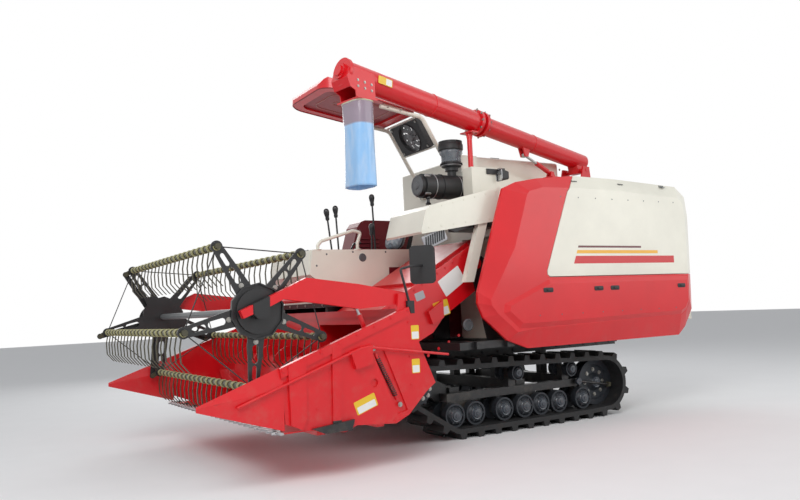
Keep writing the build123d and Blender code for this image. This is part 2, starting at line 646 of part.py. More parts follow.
with BuildPart() as canopy:
    rising = [(CANOPY_HALF - inward, up) for inward, up in CROWN]
    canopy_run([(-CANOPY_HALF, 0), (CANOPY_HALF, 0), *rising,
                *[(-y, up) for y, up in reversed(rising)]], CANOPY_X0 - 60, 1260)
    canopy_plan(0, CORNER_R, Mode.INTERSECT)
    # the roof runs down to the rim in front and behind
    profile(((CANOPY_X0 - 1, RIM_Z - 40), (CANOPY_X1 + 1, rim_z(CANOPY_X1) - 10),
             (CANOPY_X1 + 1, rim_z(CANOPY_X1) + 34), (CANOPY_X1 - 30, rim_z(CANOPY_X1) + 76),
             (CANOPY_X1 - 110, rim_z(CANOPY_X1) + 122), (700, 3262), (200, 3200),
             (CANOPY_X0 + 70, 3110), (CANOPY_X0 - 1, 3040)),
            CANOPY_Y0 - 1, CANOPY_Y1 + 1, Mode.INTERSECT)
    add(recess.part, mode=Mode.SUBTRACT)
save(canopy.part, "canopy")

POST_YS = (-190.0, -806.0)
POST_R = 20.0
POST_FOOT = (TANK_X1 + POST_R + 1, 2300.0)
POST_HEAD = (-168.0, 2942.4)
POST_TURN = degrees(atan2(POST_HEAD[1] - POST_FOOT[1], POST_HEAD[0] - POST_FOOT[0]))
POST_RUN_X = (60.0, 260.0)      # pads between the posts' level run and the rim
FAN_UP = 610.0                  # fan's middle, along the posts from their feet
FAN_X = POST_FOOT[0] + FAN_UP * cos(radians(POST_TURN))
FAN_Z = POST_FOOT[1] + FAN_UP * sin(radians(POST_TURN))
FAN_Y = sum(POST_YS) / 2
FAN_W, FAN_H, FAN_DEPTH = 480.0, 316.0, 60.0
FAN_R = 148.0                   # opening in the frame
FAN_BLADES = 8
FAN_NORMAL = Vector(sin(radians(POST_TURN)), 0, -cos(radians(POST_TURN)))
FAN_PLANE = Plane((FAN_X, FAN_Y, FAN_Z), x_dir=(0, 1, 0), z_dir=FAN_NORMAL)

with BuildPart() as posts:
    for y in POST_YS:
        pipe(((POST_FOOT[0], y, POST_FOOT[1]), (POST_HEAD[0], y, POST_HEAD[1]),
              (300, y, rim_z(300) - POST_R - 12)), POST_R, 90)
        block(TANK_X1, TANK_X1 + 2 * POST_R, y - 40, y + 40, POST_FOOT[1] - 60,
              POST_FOOT[1] + 20)
        ends = [(x, rim_z(x) - SEAT) for x in POST_RUN_X]
        feet = [(x, rim_z(x) - 20) for x in reversed(POST_RUN_X)]
        profile((*ends, *feet), y - 12, y + 12)
    wide = POST_YS[0] - POST_YS[1]
    for side in (-1, 1):
        with BuildSketch(FAN_PLANE.offset(-5)) as rung:
            with Locations((0, side * (FAN_H / 2 + 11))):
                Rectangle(wide, 20)
        extrude(rung.sketch, amount=10)
save(posts.part, "canopy_posts")

with BuildPart() as guard:
    with BuildSketch(FAN_PLANE.offset(-FAN_DEPTH / 2)) as frame:
        Rectangle(FAN_W, FAN_H + 2 - 2 * SEAT)
        Circle(FAN_R, mode=Mode.SUBTRACT)
    extrude(frame.sketch, amount=FAN_DEPTH)
    # rear grille with the motor's stub
    with BuildSketch(FAN_PLANE.offset(-FAN_DEPTH / 2)) as grille:
        Circle(40)
        for radius in (66, 94, 122):
            Circle(radius + 3)
            Circle(radius - 3, mode=Mode.SUBTRACT)
            Circle(40)
        for turn in (0, 60, 120):
            Rectangle(2 * FAN_R + 4, 10, rotation=turn)
    extrude(grille.sketch, amount=6)
    with BuildSketch(FAN_PLANE.offset(-FAN_DEPTH / 2 + 5)) as stub:
        Circle(8)
    extrude(stub.sketch, amount=35)
save(guard.part, "fan_guard")


def polar(radius, turn):
    return radius * cos(radians(turn)), radius * sin(radians(turn))


with BuildSketch() as blade:
    with BuildLine():
        ThreePointArc(polar(40, 0), polar(96, 12), polar(140, 42))
        ThreePointArc(polar(140, 42), polar(140, 57), polar(140, 72))
        ThreePointArc(polar(140, 72), polar(88, 42), polar(40, 30))
        Line(polar(40, 30), polar(40, 0))
    make_face()

with BuildPart() as fan:
    with BuildSketch(FAN_PLANE.offset(-16)) as hub:
        Circle(44)
    extrude(hub.sketch, amount=34)
    with BuildSketch(FAN_PLANE.offset(-6)) as blades:
        with PolarLocations(0, FAN_BLADES):
            add(blade.sketch)
    extrude(blades.sketch, amount=8)
    with BuildSketch(FAN_PLANE.offset(-17)) as bore:
        Circle(8 + FIT)
    extrude(bore.sketch, amount=36, mode=Mode.SUBTRACT)
save(fan.part, "fan_rotor")

# ---------------------------------------------------------------- air filter, lamp
with BuildPart() as filter_part:
    with BuildSketch(Plane.YZ.offset(-387 + SEAT)):
        with Locations((FILTER_Y, FILTER_Z)):
            Circle(FILTER_R)
    extrude(amount=477)
    with BuildSketch(Plane.YZ.offset(86)):
        with Locations((FILTER_Y, FILTER_Z)):
            Circle(FILTER_R * 0.86)
    extrude(amount=44)
    with BuildSketch(Plane.YZ.offset(-120)):
        with Locations((FILTER_Y, FILTER_Z)):
            Circle(FILTER_R + 6)
    extrude(amount=16)
    upright(-265, FILTER_Y, 42, FILTER_Z + 60, 2370)
    upright(-265, FILTER_Y, 62, 2360, 2410)
    upright(-265, FILTER_Y, 92, 2400, 2560)
    upright(-265, FILTER_Y, 112, 2550, 2640)
save(filter_part.part, "air_filter")

with BuildPart() as lamp:
    block(-640, -470, 380, 392, 2300, 2350)
    block(-660, -600, 380, 420, 2290, 2356)
    with BuildSketch(Plane.YZ.offset(-690)) as back:
        with Locations((408, 2292)):
            RectangleRounded(60, 76, 16)
    with BuildSketch(Plane.YZ.offset(-600)) as front:
        with Locations((408, 2292)):
            RectangleRounded(96, 118, 24)
    loft(sections=[back.sketch, front.sketch])
    with BuildSketch(Plane.YZ.offset(-612)) as glass:
        with Locations((408, 2292)):
            RectangleRounded(82, 104, 20)
    extrude(glass.sketch, amount=18, mode=Mode.SUBTRACT)
save(lamp.part, "work_lamp")

# ---------------------------------------------------------------- unloading auger
YAW = radians(BOOM_YAW)
RISE = radians(BOOM_RISE)


def boom_point(s, up=0.0, out=0.0):
    """Point s along the level heading, up from the tube's axis, out to the left."""
    x = COLUMN_X + s * cos(YAW) - out * sin(YAW)
    y = COLUMN_Y + s * sin(YAW) + out * cos(YAW)
    return x, y, BOOM_AXIS_Z + s * tan(RISE) + up


BOOM_SIDE = Vector(-sin(YAW), cos(YAW), 0)


def boom_plane(s, out=0.0):
    """Side view of the boom through its own axis, normal to the right."""
    return Plane(boom_point(s, out=out), x_dir=(cos(YAW), sin(YAW), 0), z_dir=BOOM_SIDE * -1)


def boom_tube(s0, s1, radius, mode=Mode.ADD):
    rod(boom_point(s0), boom_point(s1), radius, mode)


def boom_side(s, up):
    """Point given in the side view at the column: s along the heading, up from axis level."""
    return COLUMN_X + s * cos(YAW), COLUMN_Y + s * sin(YAW), BOOM_AXIS_Z + up


def lift_pin(middle, half):
    """Pin of the boom's lift cylinder."""
    rod(Vector(*middle) - BOOM_SIDE * half, Vector(*middle) + BOOM_SIDE * half, PIN_R)


# lift cylinder: foot given at the column's level, eye under the tube's axis
LIFT_S0, LIFT_UP0 = 450.0, -178.0
LIFT_S1, LIFT_DROP = 860.0, -142.0


with BuildPart() as column:
    upright(COLUMN_X, COLUMN_Y, COLUMN_R, 900, 2330)
    upright(COLUMN_X, COLUMN_Y, COLUMN_R + 22, 2290, 2330)
    block(COLUMN_X - 110, COLUMN_X + 160, -90, 118, DECK_Z1, 1020)
    block(COLUMN_X - 40, COLUMN_X + 90, COLUMN_Y, BODY_Y0, 1900, 1960)
save(column.part, "unloader_column")

PIN_HALF = 128.0
with BuildPart() as turret:
    upright(COLUMN_X, COLUMN_Y, COLUMN_R + 22, 2330 + SEAT, 2376)
    upright(COLUMN_X, COLUMN_Y, COLUMN_R - 6, 2370, 2400)
    with BuildSketch(boom_plane(0, 60)):
        with BuildLine():
            Polyline((-60, -250), (-60, -214), (500, -214), (500, -250), close=True)
        make_face()
    extrude(amount=120)
    for out in (30, -18):
        with BuildSketch(boom_plane(0, out)):
            with BuildLine():
                Polyline((LIFT_S0 - 40, -215), (LIFT_S0 + 40, -215),
                         (LIFT_S0 + 16, LIFT_UP0 + 18), (LIFT_S0 - 16, LIFT_UP0 + 18),
                         close=True)
            make_face()
        extrude(amount=12)
    lift_pin(boom_side(LIFT_S0, LIFT_UP0), 30)
    for side in (-1, 1):
        with BuildSketch(boom_plane(0, side * PIN_HALF + 8)):
            with BuildLine():
                Polyline((-70, -250), (110, -250), (60, BOOM_PIN_Z - BOOM_AXIS_Z + 34),
                         (-50, BOOM_PIN_Z - BOOM_AXIS_Z + 34), close=True)
            make_face()
            with Locations((0, BOOM_PIN_Z - BOOM_AXIS_Z)):
                Circle(22 + FIT, mode=Mode.SUBTRACT)
        extrude(amount=16)
        with BuildSketch(Plane.XY.offset(BOOM_AXIS_Z - 250)):
            with Locations(Location((COLUMN_X, COLUMN_Y, 0), BOOM_YAW)):
                with Locations((0, side * 95)):
                    Rectangle(120, 84)
        extrude(amount=16)
save(turret.part, "unloader_turret")

SPOUT_S, SPOUT_DROP = 2975.0, 205.0      # middle of the spout, its floor under the axis
SPOUT_L, SPOUT_W = 200.0, 278.0          # frame that the sleeve hangs from
SPOUT_HALF = 106.0
SPOUT_SHEET = (         # side view from the spout's middle: along, up
    (-106, 10), (-106, -SPOUT_DROP + 2), (90, -SPOUT_DROP + 2), (96, -150), (150, -122),
    (176, -50), (150, 30), (120, 46),
)
SPOUT_INSIDE = (
    (-98, -60), (-98, -SPOUT_DROP - 20), (92, -SPOUT_DROP - 20), (98, -160), (140, -140),
    (166, -52), (146, -20), (60, -60),
)


def spout_side(points, out0, out1, mode):
    with BuildSketch(boom_plane(SPOUT_S, out1)) as view:
        with BuildLine():
            Polyline(*points, close=True)
        make_face()
    extrude(view.sketch, amount=out1 - out0, mode=mode)


def spout_floor():
    """Top face of the sleeve's frame, with x along the boom's heading."""
    x, y, z = boom_point(SPOUT_S, up=-SPOUT_DROP + 2)
    return Plane((x, y, z), x_dir=(cos(YAW), sin(YAW), 0))


HEAD_S = 2850.0         # where the tube's head with the spout is bolted on
with BuildPart() as rear_fittings:
    # pin block under the tube's back end, and the lug for the lift cylinder's rod
    with BuildSketch(boom_plane(0, PIN_HALF + 12)) as pin_end:
        with Locations((0, BOOM_PIN_Z - BOOM_AXIS_Z)):
            Circle(22)
    extrude(pin_end.sketch, amount=2 * PIN_HALF + 24)
    with BuildSketch(boom_plane(0, 60)) as saddle:
        with BuildLine():
            Polyline((-40, -150), (40, -150), (60, -60), (-60, -60), close=True)
        make_face()
    extrude(saddle.sketch, amount=120)
    for out in (34, -18):
        with BuildSketch(boom_plane(LIFT_S1, out)) as lug:
            with BuildLine():
                Polyline((-22, LIFT_DROP - 20), (22, LIFT_DROP - 20), (60, -60), (-60, -60),
                         close=True)
            make_face()
        extrude(lug.sketch, amount=16)
    lift_pin(boom_point(LIFT_S1, up=LIFT_DROP), 34)
    boom_tube(-200, BOOM_SPLIT, BOOM_REAR_R + SEAT, Mode.SUBTRACT)

with BuildPart() as boom_head:
    boom_tube(HEAD_S + SEAT, BOOM_LEN + 22, BOOM_FRONT_R)
    boom_tube(BOOM_LEN - 6, BOOM_LEN + 22, BOOM_FRONT_R + 16)
    boom_tube(BOOM_LEN + 20, BOOM_LEN + 52, 66)
    boom_tube(BOOM_LEN + 50, BOOM_LEN + 66, 44)
    # spout: side plates under the tube, a sloping front sheet and a frame for the sleeve
    spout_side(SPOUT_SHEET, -SPOUT_HALF, SPOUT_HALF, Mode.ADD)
    spout_side(SPOUT_INSIDE, -SPOUT_HALF + 8, SPOUT_HALF - 8, Mode.SUBTRACT)
    with BuildSketch(spout_floor()) as flange:
        Rectangle(SPOUT_L, SPOUT_W)
        Rectangle(SPOUT_L - 44, SPOUT_W - 72, mode=Mode.SUBTRACT)
    extrude(flange.sketch, amount=-12)

with BuildPart() as collars:
    for s, radius in ((BOOM_SPLIT - 70, BOOM_REAR_R), (BOOM_SPLIT + 4, BOOM_FRONT_R)):
        boom_tube(s, s + 34, BOOM_FRONT_R + 20)
        boom_tube(s - 1, s + 35, radius + FIT, Mode.SUBTRACT)

with BuildPart() as boom:
    boom_tube(-112, BOOM_SPLIT, BOOM_REAR_R)
    boom_tube(BOOM_SPLIT + SEAT, HEAD_S, BOOM_FRONT_R)
    for piece in (rear_fittings, boom_head, collars):
        add(piece.part)
save(boom.part, "unloader_boom")

SLEEVE_TOP = boom_point(SPOUT_S, up=-SPOUT_DROP - 10)[2]
SLEEVE_LEN = 706.0
with BuildPart() as sleeve:
    with BuildSketch(Plane(boom_point(SPOUT_S)[:2] + (SLEEVE_TOP - SLEEVE_LEN - SEAT,),
                           x_dir=(cos(YAW), sin(YAW), 0))) as hem:
        Rectangle(SPOUT_L - 6, SPOUT_W - 6)
        fillet(hem.vertices(), 60)
    extrude(hem.sketch, amount=SLEEVE_LEN)
save(sleeve.part, "spout_sleeve")

REST_S = 1655.0
REST_X, REST_Y, _ = boom_point(REST_S)
REST_TOP = boom_point(REST_S - 45, up=-BOOM_FRONT_R / cos(RISE) - 9)[2]
with BuildPart() as rest:
    upright(REST_X, REST_Y, 24, 2360, REST_TOP - 11)
    with BuildSketch(Plane((REST_X, REST_Y, REST_TOP), x_dir=(cos(YAW), sin(YAW), 0))):
        Rectangle(90, 150)
    extrude(amount=-12)
    for out in (-5,):
        with BuildSketch(Plane(boom_point(REST_S, out=out)[:2] + (REST_TOP - 11,),
                               x_dir=(cos(YAW), sin(YAW), 0), z_dir=BOOM_SIDE)):
            with BuildLine():
                Polyline((-45, 0), (45, 0), (18, 100), (-18, 100), close=True)
            make_face()
        extrude(amount=10)
save(rest.part, "unloader_rest")

# ---------------------------------------------------------------- pinned cylinders
def lay_barrel(foot, eye, side, length, radius, width, eye_r, bore_r, floor):
    """Bored barrel with its eye round the pin at foot; side runs along the pins."""
    a = Vector(*foot)
    way = (Vector(*eye) - a).normalized()
    neck = eye_r + NECK
    rod(a - side * (width / 2), a + side * (width / 2), eye_r)
    rod(a + way * (PIN_R + 4), a + way * (neck + 1), radius * 0.7)
    rod(a + way * neck, a + way * length, radius)
    rod(a + way * floor, a + way * (length + 1), bore_r + FIT, Mode.SUBTRACT)
    rod(a - side * width, a + side * width, PIN_R + FIT, Mode.SUBTRACT)


def lay_rod(foot, eye, side, start, radius, width, eye_r, drift):
    """Rod from inside the barrel to the eye; drift is the room round the eye's pin."""
    a, b = Vector(*foot), Vector(*eye)
    way = (b - a).normalized()
    rod(a + way * start, b - way * (eye_r - 4), radius)
    rod(b - side * (width / 2), b + side * (width / 2), eye_r)
    rod(b - side * width, b + side * width, PIN_R + drift, Mode.SUBTRACT)


LIFT_PINS = (boom_side(LIFT_S0, LIFT_UP0), boom_point(LIFT_S1, up=LIFT_DROP), BOOM_SIDE)
with BuildPart() as lift_barrel:
    lay_barrel(*LIFT_PINS, 240, 24, 32, 24, 13, 50)
save(lift_barrel.part, "boom_cylinder_barrel")
with BuildPart() as lift_rod:
    lay_rod(*LIFT_PINS, 56, 13, 30, 26, 5.5)
save(lift_rod.part, "boom_cylinder_rod")

# ---------------------------------------------------------------- feeder house
HEAD_BACK_X = AUGER_X - TROUGH_R - TROUGH_SHEET
FEEDER_WALL = 12.0

with BuildPart() as feeder:
    profile(((-112, 1664), (680, 1216), (HEAD_BACK_X, 1010), (HEAD_BACK_X, 600), (420, 890),
             (300, 1020), (-62, 1235)), FEEDER_Y0, FEEDER_Y1)
    profile(((-160, 1676), (674, 1204), (HEAD_BACK_X + 1, 997), (HEAD_BACK_X + 1, 614),
             (426, 903), (306, 1034), (-160, 1310)), FEEDER_Y0 + FEEDER_WALL,
            FEEDER_Y1 - FEEDER_WALL, Mode.SUBTRACT)
    # raised lid on the top and flange strips down the left side
    profile(((-30, 1610), (560, 1276), (574, 1304), (-16, 1638)), FEEDER_Y0 + 60, FEEDER_Y1 - 60)
    profile(((-112, 1664), (HEAD_BACK_X, 1010), (HEAD_BACK_X, 986), (-112, 1636)),
            FEEDER_Y1 - 1, FEEDER_Y1 + 6)
    profile(((330, 1150), (480, 1060), (440, 960), (330, 1010)), FEEDER_Y1 - 1, FEEDER_Y1 + 38)
    cross_bar(HINGE_X, HINGE_Z, HINGE_R, FEEDER_Y0 - RUN - 16, FEEDER_Y1 + RUN + 26)
    ex, ez = HEAD_CYL_EYE
    for y0 in (HEAD_CYL_Y - 40, HEAD_CYL_Y + 28):
        profile(((ex - 70, ez + 82), (ex + 70, ez + 19), (ex + 40, ez - 24), (ex, ez - 38),
                 (ex - 40, ez - 24)), y0, y0 + 12)
    cross_bar(HEAD_CYL_EYE[0], HEAD_CYL_EYE[1], PIN_R, HEAD_CYL_Y - 40, HEAD_CYL_Y + 40)
save(feeder.part, "feeder_house")

# ---------------------------------------------------------------- header table
TABLE_Y0, TABLE_Y1 = HEAD_Y0 + HEAD_PLATE, HEAD_Y1 - HEAD_PLATE
with BuildPart() as trough:
    floor_z = AUGER_Z - TROUGH_R
    with BuildSketch(face_plane(TABLE_Y1)):
        with BuildLine():
            for grow in (0, TROUGH_SHEET):
                radius = TROUGH_R + grow
                Line((KNIFE_X, floor_z - grow), (AUGER_X, floor_z - grow))
                CenterArc((AUGER_X, AUGER_Z), radius, 180, 90)
                Line((AUGER_X - radius, AUGER_Z), (AUGER_X - radius, 1094))
            Line((KNIFE_X, floor_z), (KNIFE_X, floor_z - TROUGH_SHEET))
            Line((AUGER_X - TROUGH_R, 1094), (AUGER_X - TROUGH_R - TROUGH_SHEET, 1094))
        make_face()
    extrude(amount=TABLE_Y1 - TABLE_Y0)
    block(HEAD_BACK_X - 1, HEAD_BACK_X + TROUGH_SHEET + 1, FEEDER_Y0 + FEEDER_WALL,
          FEEDER_Y1 - FEEDER_WALL, 640, 990, Mode.SUBTRACT)
    block(1020, 1092, TABLE_Y0, TABLE_Y1, 1044, 1098)
    for x in (1250, 1700):
        block(x, x + 60, TABLE_Y0, TABLE_Y1, floor_z - 46, floor_z - TROUGH_SHEET + 1)
save(trough.part, "header_trough")

SIDE_OUTLINE = (
    (1067, 1098), (1013, 999), (825, 560), (906, 504), (1058, 360), (1168, 310),
    (1474, 334), (1566, 299), (1862, 348), (1990, 400), (2010, 745),
)
RAIL_OUTLINE = ((1030, 1108), (2020, 752), (2012, 690), (1016, 1048))
ARM_BRACKET = ((1042, 1060), (1120, 1040), (1100, 1205), (1042, 1205))


def header_side(inner, out):
    """Side plate whose inner face is at inner; out is +1 on the left, -1 on the right."""
    outer = inner + out * HEAD_PLATE
    profile(SIDE_OUTLINE, inner, outer)
    profile(RAIL_OUTLINE, inner, outer + out * 12)
    profile(ARM_BRACKET, inner, inner + out * 24)
    cross_bar(ARM_PIVOT_X, ARM_PIVOT_Z, 20, inner + out * 12, inner - out * 52)
    cross_bar(REEL_CYL_FOOT[0], REEL_CYL_FOOT[1], PIN_R, inner + out * 2,
              reel_cyl_y(out) - out * 20)
    # divider running out to a point
    base, tip = inner + out * 10, inner + out * 26
    corners = (
        (2000, base - out * 26, base + out * 30, 360, 762),
        (2557, tip - out * 4, tip + out * 4, 534, 566),
    )
    sections = []
    for x, y0, y1, z0, z1 in corners:
        with BuildSketch(Plane.YZ.offset(x)) as section:
            with BuildLine():
                Polyline((y0, z0), (y1, z0), (y1, (z0 + 2 * z1) / 3), ((y0 + y1) / 2, z1),
                         (y0, (z0 + 2 * z1) / 3), close=True)
            make_face()
        sections.append(section.sketch)
    loft(sections=sections)
    cross_bar(AUGER_X, AUGER_Z, 30 + SEAT, inner - out, outer + out, Mode.SUBTRACT)


def reel_cyl_y(out):
    return 1166.0 if out > 0 else -1198.0


LEFT_RIBS = (           # side view and height of each rib on the left plate
    (((1905, 790), (1840, 812), (1846, 420), (1880, 352), (1957, 392), (1966, 770)), 20),
    (((1645, 870), (1572, 895), (1600, 330), (1660, 318)), 14),
    (((1517, 822), (1346, 865), (1353, 733), (1479, 705)), 34),
    (((2176, 560), (2146, 560), (2100, 430), (2140, 430)), 6),
)
SPRING_GROOVE = ((1330, 800), (1240, 815), (1068, 392), (1150, 372))

with BuildPart() as side_left:
    header_side(TABLE_Y1, 1)
    # stiffening ribs, skid and the crop guide rod
    outer = HEAD_Y1
    for outline, depth in LEFT_RIBS:
        profile(outline, outer - 1, outer + depth)
    profile(SPRING_GROOVE, outer - 14, outer + 1, Mode.SUBTRACT)
    rod((1310, outer - 6, 800), (1150, outer - 6, 470), 9)
    profile(((1815, 352), (1506, 380), (1528, 312), (1728, 312)), outer - 1, outer + 30)
    pipe(((2312, outer + 26, 538), (1446, outer + 26, 839), (1392, outer + 26, 849),
          (720, outer + 26, 753)), 9, 60)
    cross_bar(1420, 845, 9, outer - 1, outer + 26)
    cross_bar(2150, 594, 9, outer - 20, outer + 26)
save(side_left.part, "header_side_left")

with BuildPart() as side_right:
    header_side(TABLE_Y0, -1)
save(side_right.part, "header_side_right")

with BuildPart() as cutter:
    knife_z = AUGER_Z - TROUGH_R
    block(KNIFE_X, KNIFE_X + 26, TABLE_Y0, TABLE_Y1, knife_z - 14, knife_z)
    count = int((TABLE_Y1 - TABLE_Y0 - 60) / 100)
    for i in range(count + 1):
        y = TABLE_Y0 + 40 + i * (TABLE_Y1 - TABLE_Y0 - 80) / count
        profile(((KNIFE_X + 10, knife_z - 15), (KNIFE_X + 10, knife_z + 12),
                 (KNIFE_X + 66, knife_z - 2), (KNIFE_X + 66, knife_z - 10)), y - 8, y + 8)
    block(KNIFE_X + 14, KNIFE_X + 40, TABLE_Y0, TABLE_Y1, knife_z - 4, knife_z + 3)
save(cutter.part, "cutter_bar")

with BuildPart() as mirror:
    base_y = HEAD_Y1 - 14
    profile(((984, 1060), (1016, 1060), (1027, 1109), (1041, 1109), (1041, 1150),
             (984, 1150)), base_y - 16, base_y + 30)
    pipe(((1010, base_y, 1148), (1070, base_y, 1377), (930, base_y - 90, 1401),
          (756, base_y - 186, 1414)), 9, 24)
    pane = Plane((752, base_y - 188, 1420), x_dir=(-0.64, 0.77, 0), z_dir=(0.77, 0.64, 0))
    with BuildSketch(pane.offset(-12)):
        RectangleRounded(196, 290, 36)
    extrude(amount=24)
save(mirror.part, "mirror")

# ---------------------------------------------------------------- header auger
AUGER_PITCH = 420.0
AUGER_CENTRE = (FEEDER_Y0 + FEEDER_Y1) / 2
with BuildPart() as auger:
    cross_bar(AUGER_X, AUGER_Z, AUGER_DRUM_R, TABLE_Y0 + 10, TABLE_Y1 - 10)
    cross_bar(AUGER_X, AUGER_Z, 30, TABLE_Y0 - HEAD_PLATE / 2, TABLE_Y1 + HEAD_PLATE / 2)
    flights = (
        (TABLE_Y0 + 14, AUGER_CENTRE - 330, False),
        (AUGER_CENTRE + 330, TABLE_Y1 - 14, True),
    )
    for y0, y1, left_hand in flights:
        axis_plane = Plane((AUGER_X, y0, AUGER_Z), x_dir=(1, 0, 0), z_dir=(0, 1, 0))
        helix = Helix(AUGER_PITCH, y1 - y0, AUGER_DRUM_R - 1, lefthand=left_hand,
                      mode=Mode.PRIVATE)
        helix = axis_plane.location * helix
        depth = AUGER_R - AUGER_DRUM_R + 1
        start = Plane(helix @ 0, x_dir=((helix @ 0) - Vector(AUGER_X, y0, AUGER_Z)).normalized(),
                      z_dir=(helix % 0))
        with BuildSketch(start):
            with Locations((depth / 2, 0)):
                Rectangle(depth, 8)
        sweep(path=helix, is_frenet=True)
    for i in range(12):
        y = AUGER_CENTRE - 275 + 50 * i
        turn = radians(150 * i)
        rod((AUGER_X, y, AUGER_Z),
            (AUGER_X + (AUGER_R - 6) * cos(turn), y, AUGER_Z + (AUGER_R - 6) * sin(turn)), 7)
save(auger.part, "header_auger")

def side_pins(foot, eye, y):
    return (foot[0], y, foot[1]), (eye[0], y, eye[1]), Vector(0, 1, 0)


with BuildPart() as head_barrel:
    lay_barrel(*side_pins(HEAD_CYL_FOOT, HEAD_CYL_EYE, HEAD_CYL_Y), 400, 34, 52, 30, 18, 60)
save(head_barrel.part, "header_cylinder_barrel")
with BuildPart() as head_rod:
    lay_rod(*side_pins(HEAD_CYL_FOOT, HEAD_CYL_EYE, HEAD_CYL_Y), 185, 18, 52, 34, 9.5)
save(head_rod.part, "header_cylinder_rod")

# ---------------------------------------------------------------- reel
ARM_OUTLINE = (
    (1026, 1134), (1012, 1170), (1030, 1212), (1401, 1279), (1790, 1330), (1955, 1256),
    (2250, 1129), (2229, 1080), (2044, 1152), (1955, 1193), (1655, 1150), (1398, 1108),
)
CLAMP_OUTLINE = (       # strap over the arm that hangs the shaft's bearing
    (2052, 1216), (2166, 1168), (2160, 1100), (2134, 1074), (2080, 1074), (2056, 1100),
)
ARM_LEFT = (TABLE_Y1 - 51.0, TABLE_Y1 - 5.0)
ARM_RIGHT = (TABLE_Y0 + 8.0, TABLE_Y0 + 48.0)
SHAFT_R = 26.0

with BuildPart() as arms:
    for (y0, y1), out in ((ARM_LEFT, 1), (ARM_RIGHT, -1)):
        profile(ARM_OUTLINE, y0, y1)
        profile(CLAMP_OUTLINE, y0 - 0.5 * (1 + out), y1 + 2 + 2 * out)
        inner = y0 if out > 0 else y1
        cross_bar(ARM_PIVOT_X, ARM_PIVOT_Z, 20 + FIT, y0 - 1, y1 + 1, Mode.SUBTRACT)
        cross_bar(REEL_X, REEL_Z, SHAFT_R + FIT, y0 - 1, y1 + 1, Mode.SUBTRACT)
        cross_bar(REEL_CYL_EYE[0], REEL_CYL_EYE[1], PIN_R, inner - out * SEAT,
                  reel_cyl_y(out) - out * 20)
    cross_bar(1186, 1210, 22, ARM_RIGHT[1] + SEAT, ARM_LEFT[0] - SEAT)
    # eccentric that carries the control ring
    cross_bar(REEL_X + CRANK_X, REEL_Z + CRANK_Z, 110, ARM_RIGHT[1] + SEAT, ARM_RIGHT[1] + 20)
    cross_bar(REEL_X, REEL_Z, SHAFT_R + FIT, ARM_RIGHT[1] - 3, ARM_RIGHT[1] + 21, Mode.SUBTRACT)
save(arms.part, "reel_arms")

with BuildPart() as reel_barrels:
    for out in (1, -1):
        lay_barrel(*side_pins(REEL_CYL_FOOT, REEL_CYL_EYE, reel_cyl_y(out)),
                   214, 18, 30, 22, 10, 34)
save(reel_barrels.part, "reel_cylinder_barrels")
with BuildPart() as reel_rods:
    for out in (1, -1):
        lay_rod(*side_pins(REEL_CYL_FOOT, REEL_CYL_EYE, reel_cyl_y(out)),
                38, 10, 30, 22, 3)
save(reel_rods.part, "reel_cylinder_rods")


def bar_place(i):
    """Side-view centre of one tine bar."""
    turn = radians(REEL_FIRST + i * 360 / REEL_BARS)
    return REEL_X + REEL_R * sin(turn), REEL_Z + REEL_R * cos(turn)


with BuildPart() as shaft:
    cross_bar(REEL_X, REEL_Z, SHAFT_R, ARM_RIGHT[0] + 4, ARM_LEFT[1] - 4)
save(shaft.part, "reel_shaft")

HUB_R = 186.0           # corners of the spider's middle plate
ARM_ROOT, ARM_TIP = 62.0, 34.0          # half width of a spider's arm
COVER_R = 145.0         # dished cover on the left spider
SLOTS = ((0.56, 118.0, 44.0), (0.8, 92.0, 32.0))    # place along the arm, length, width


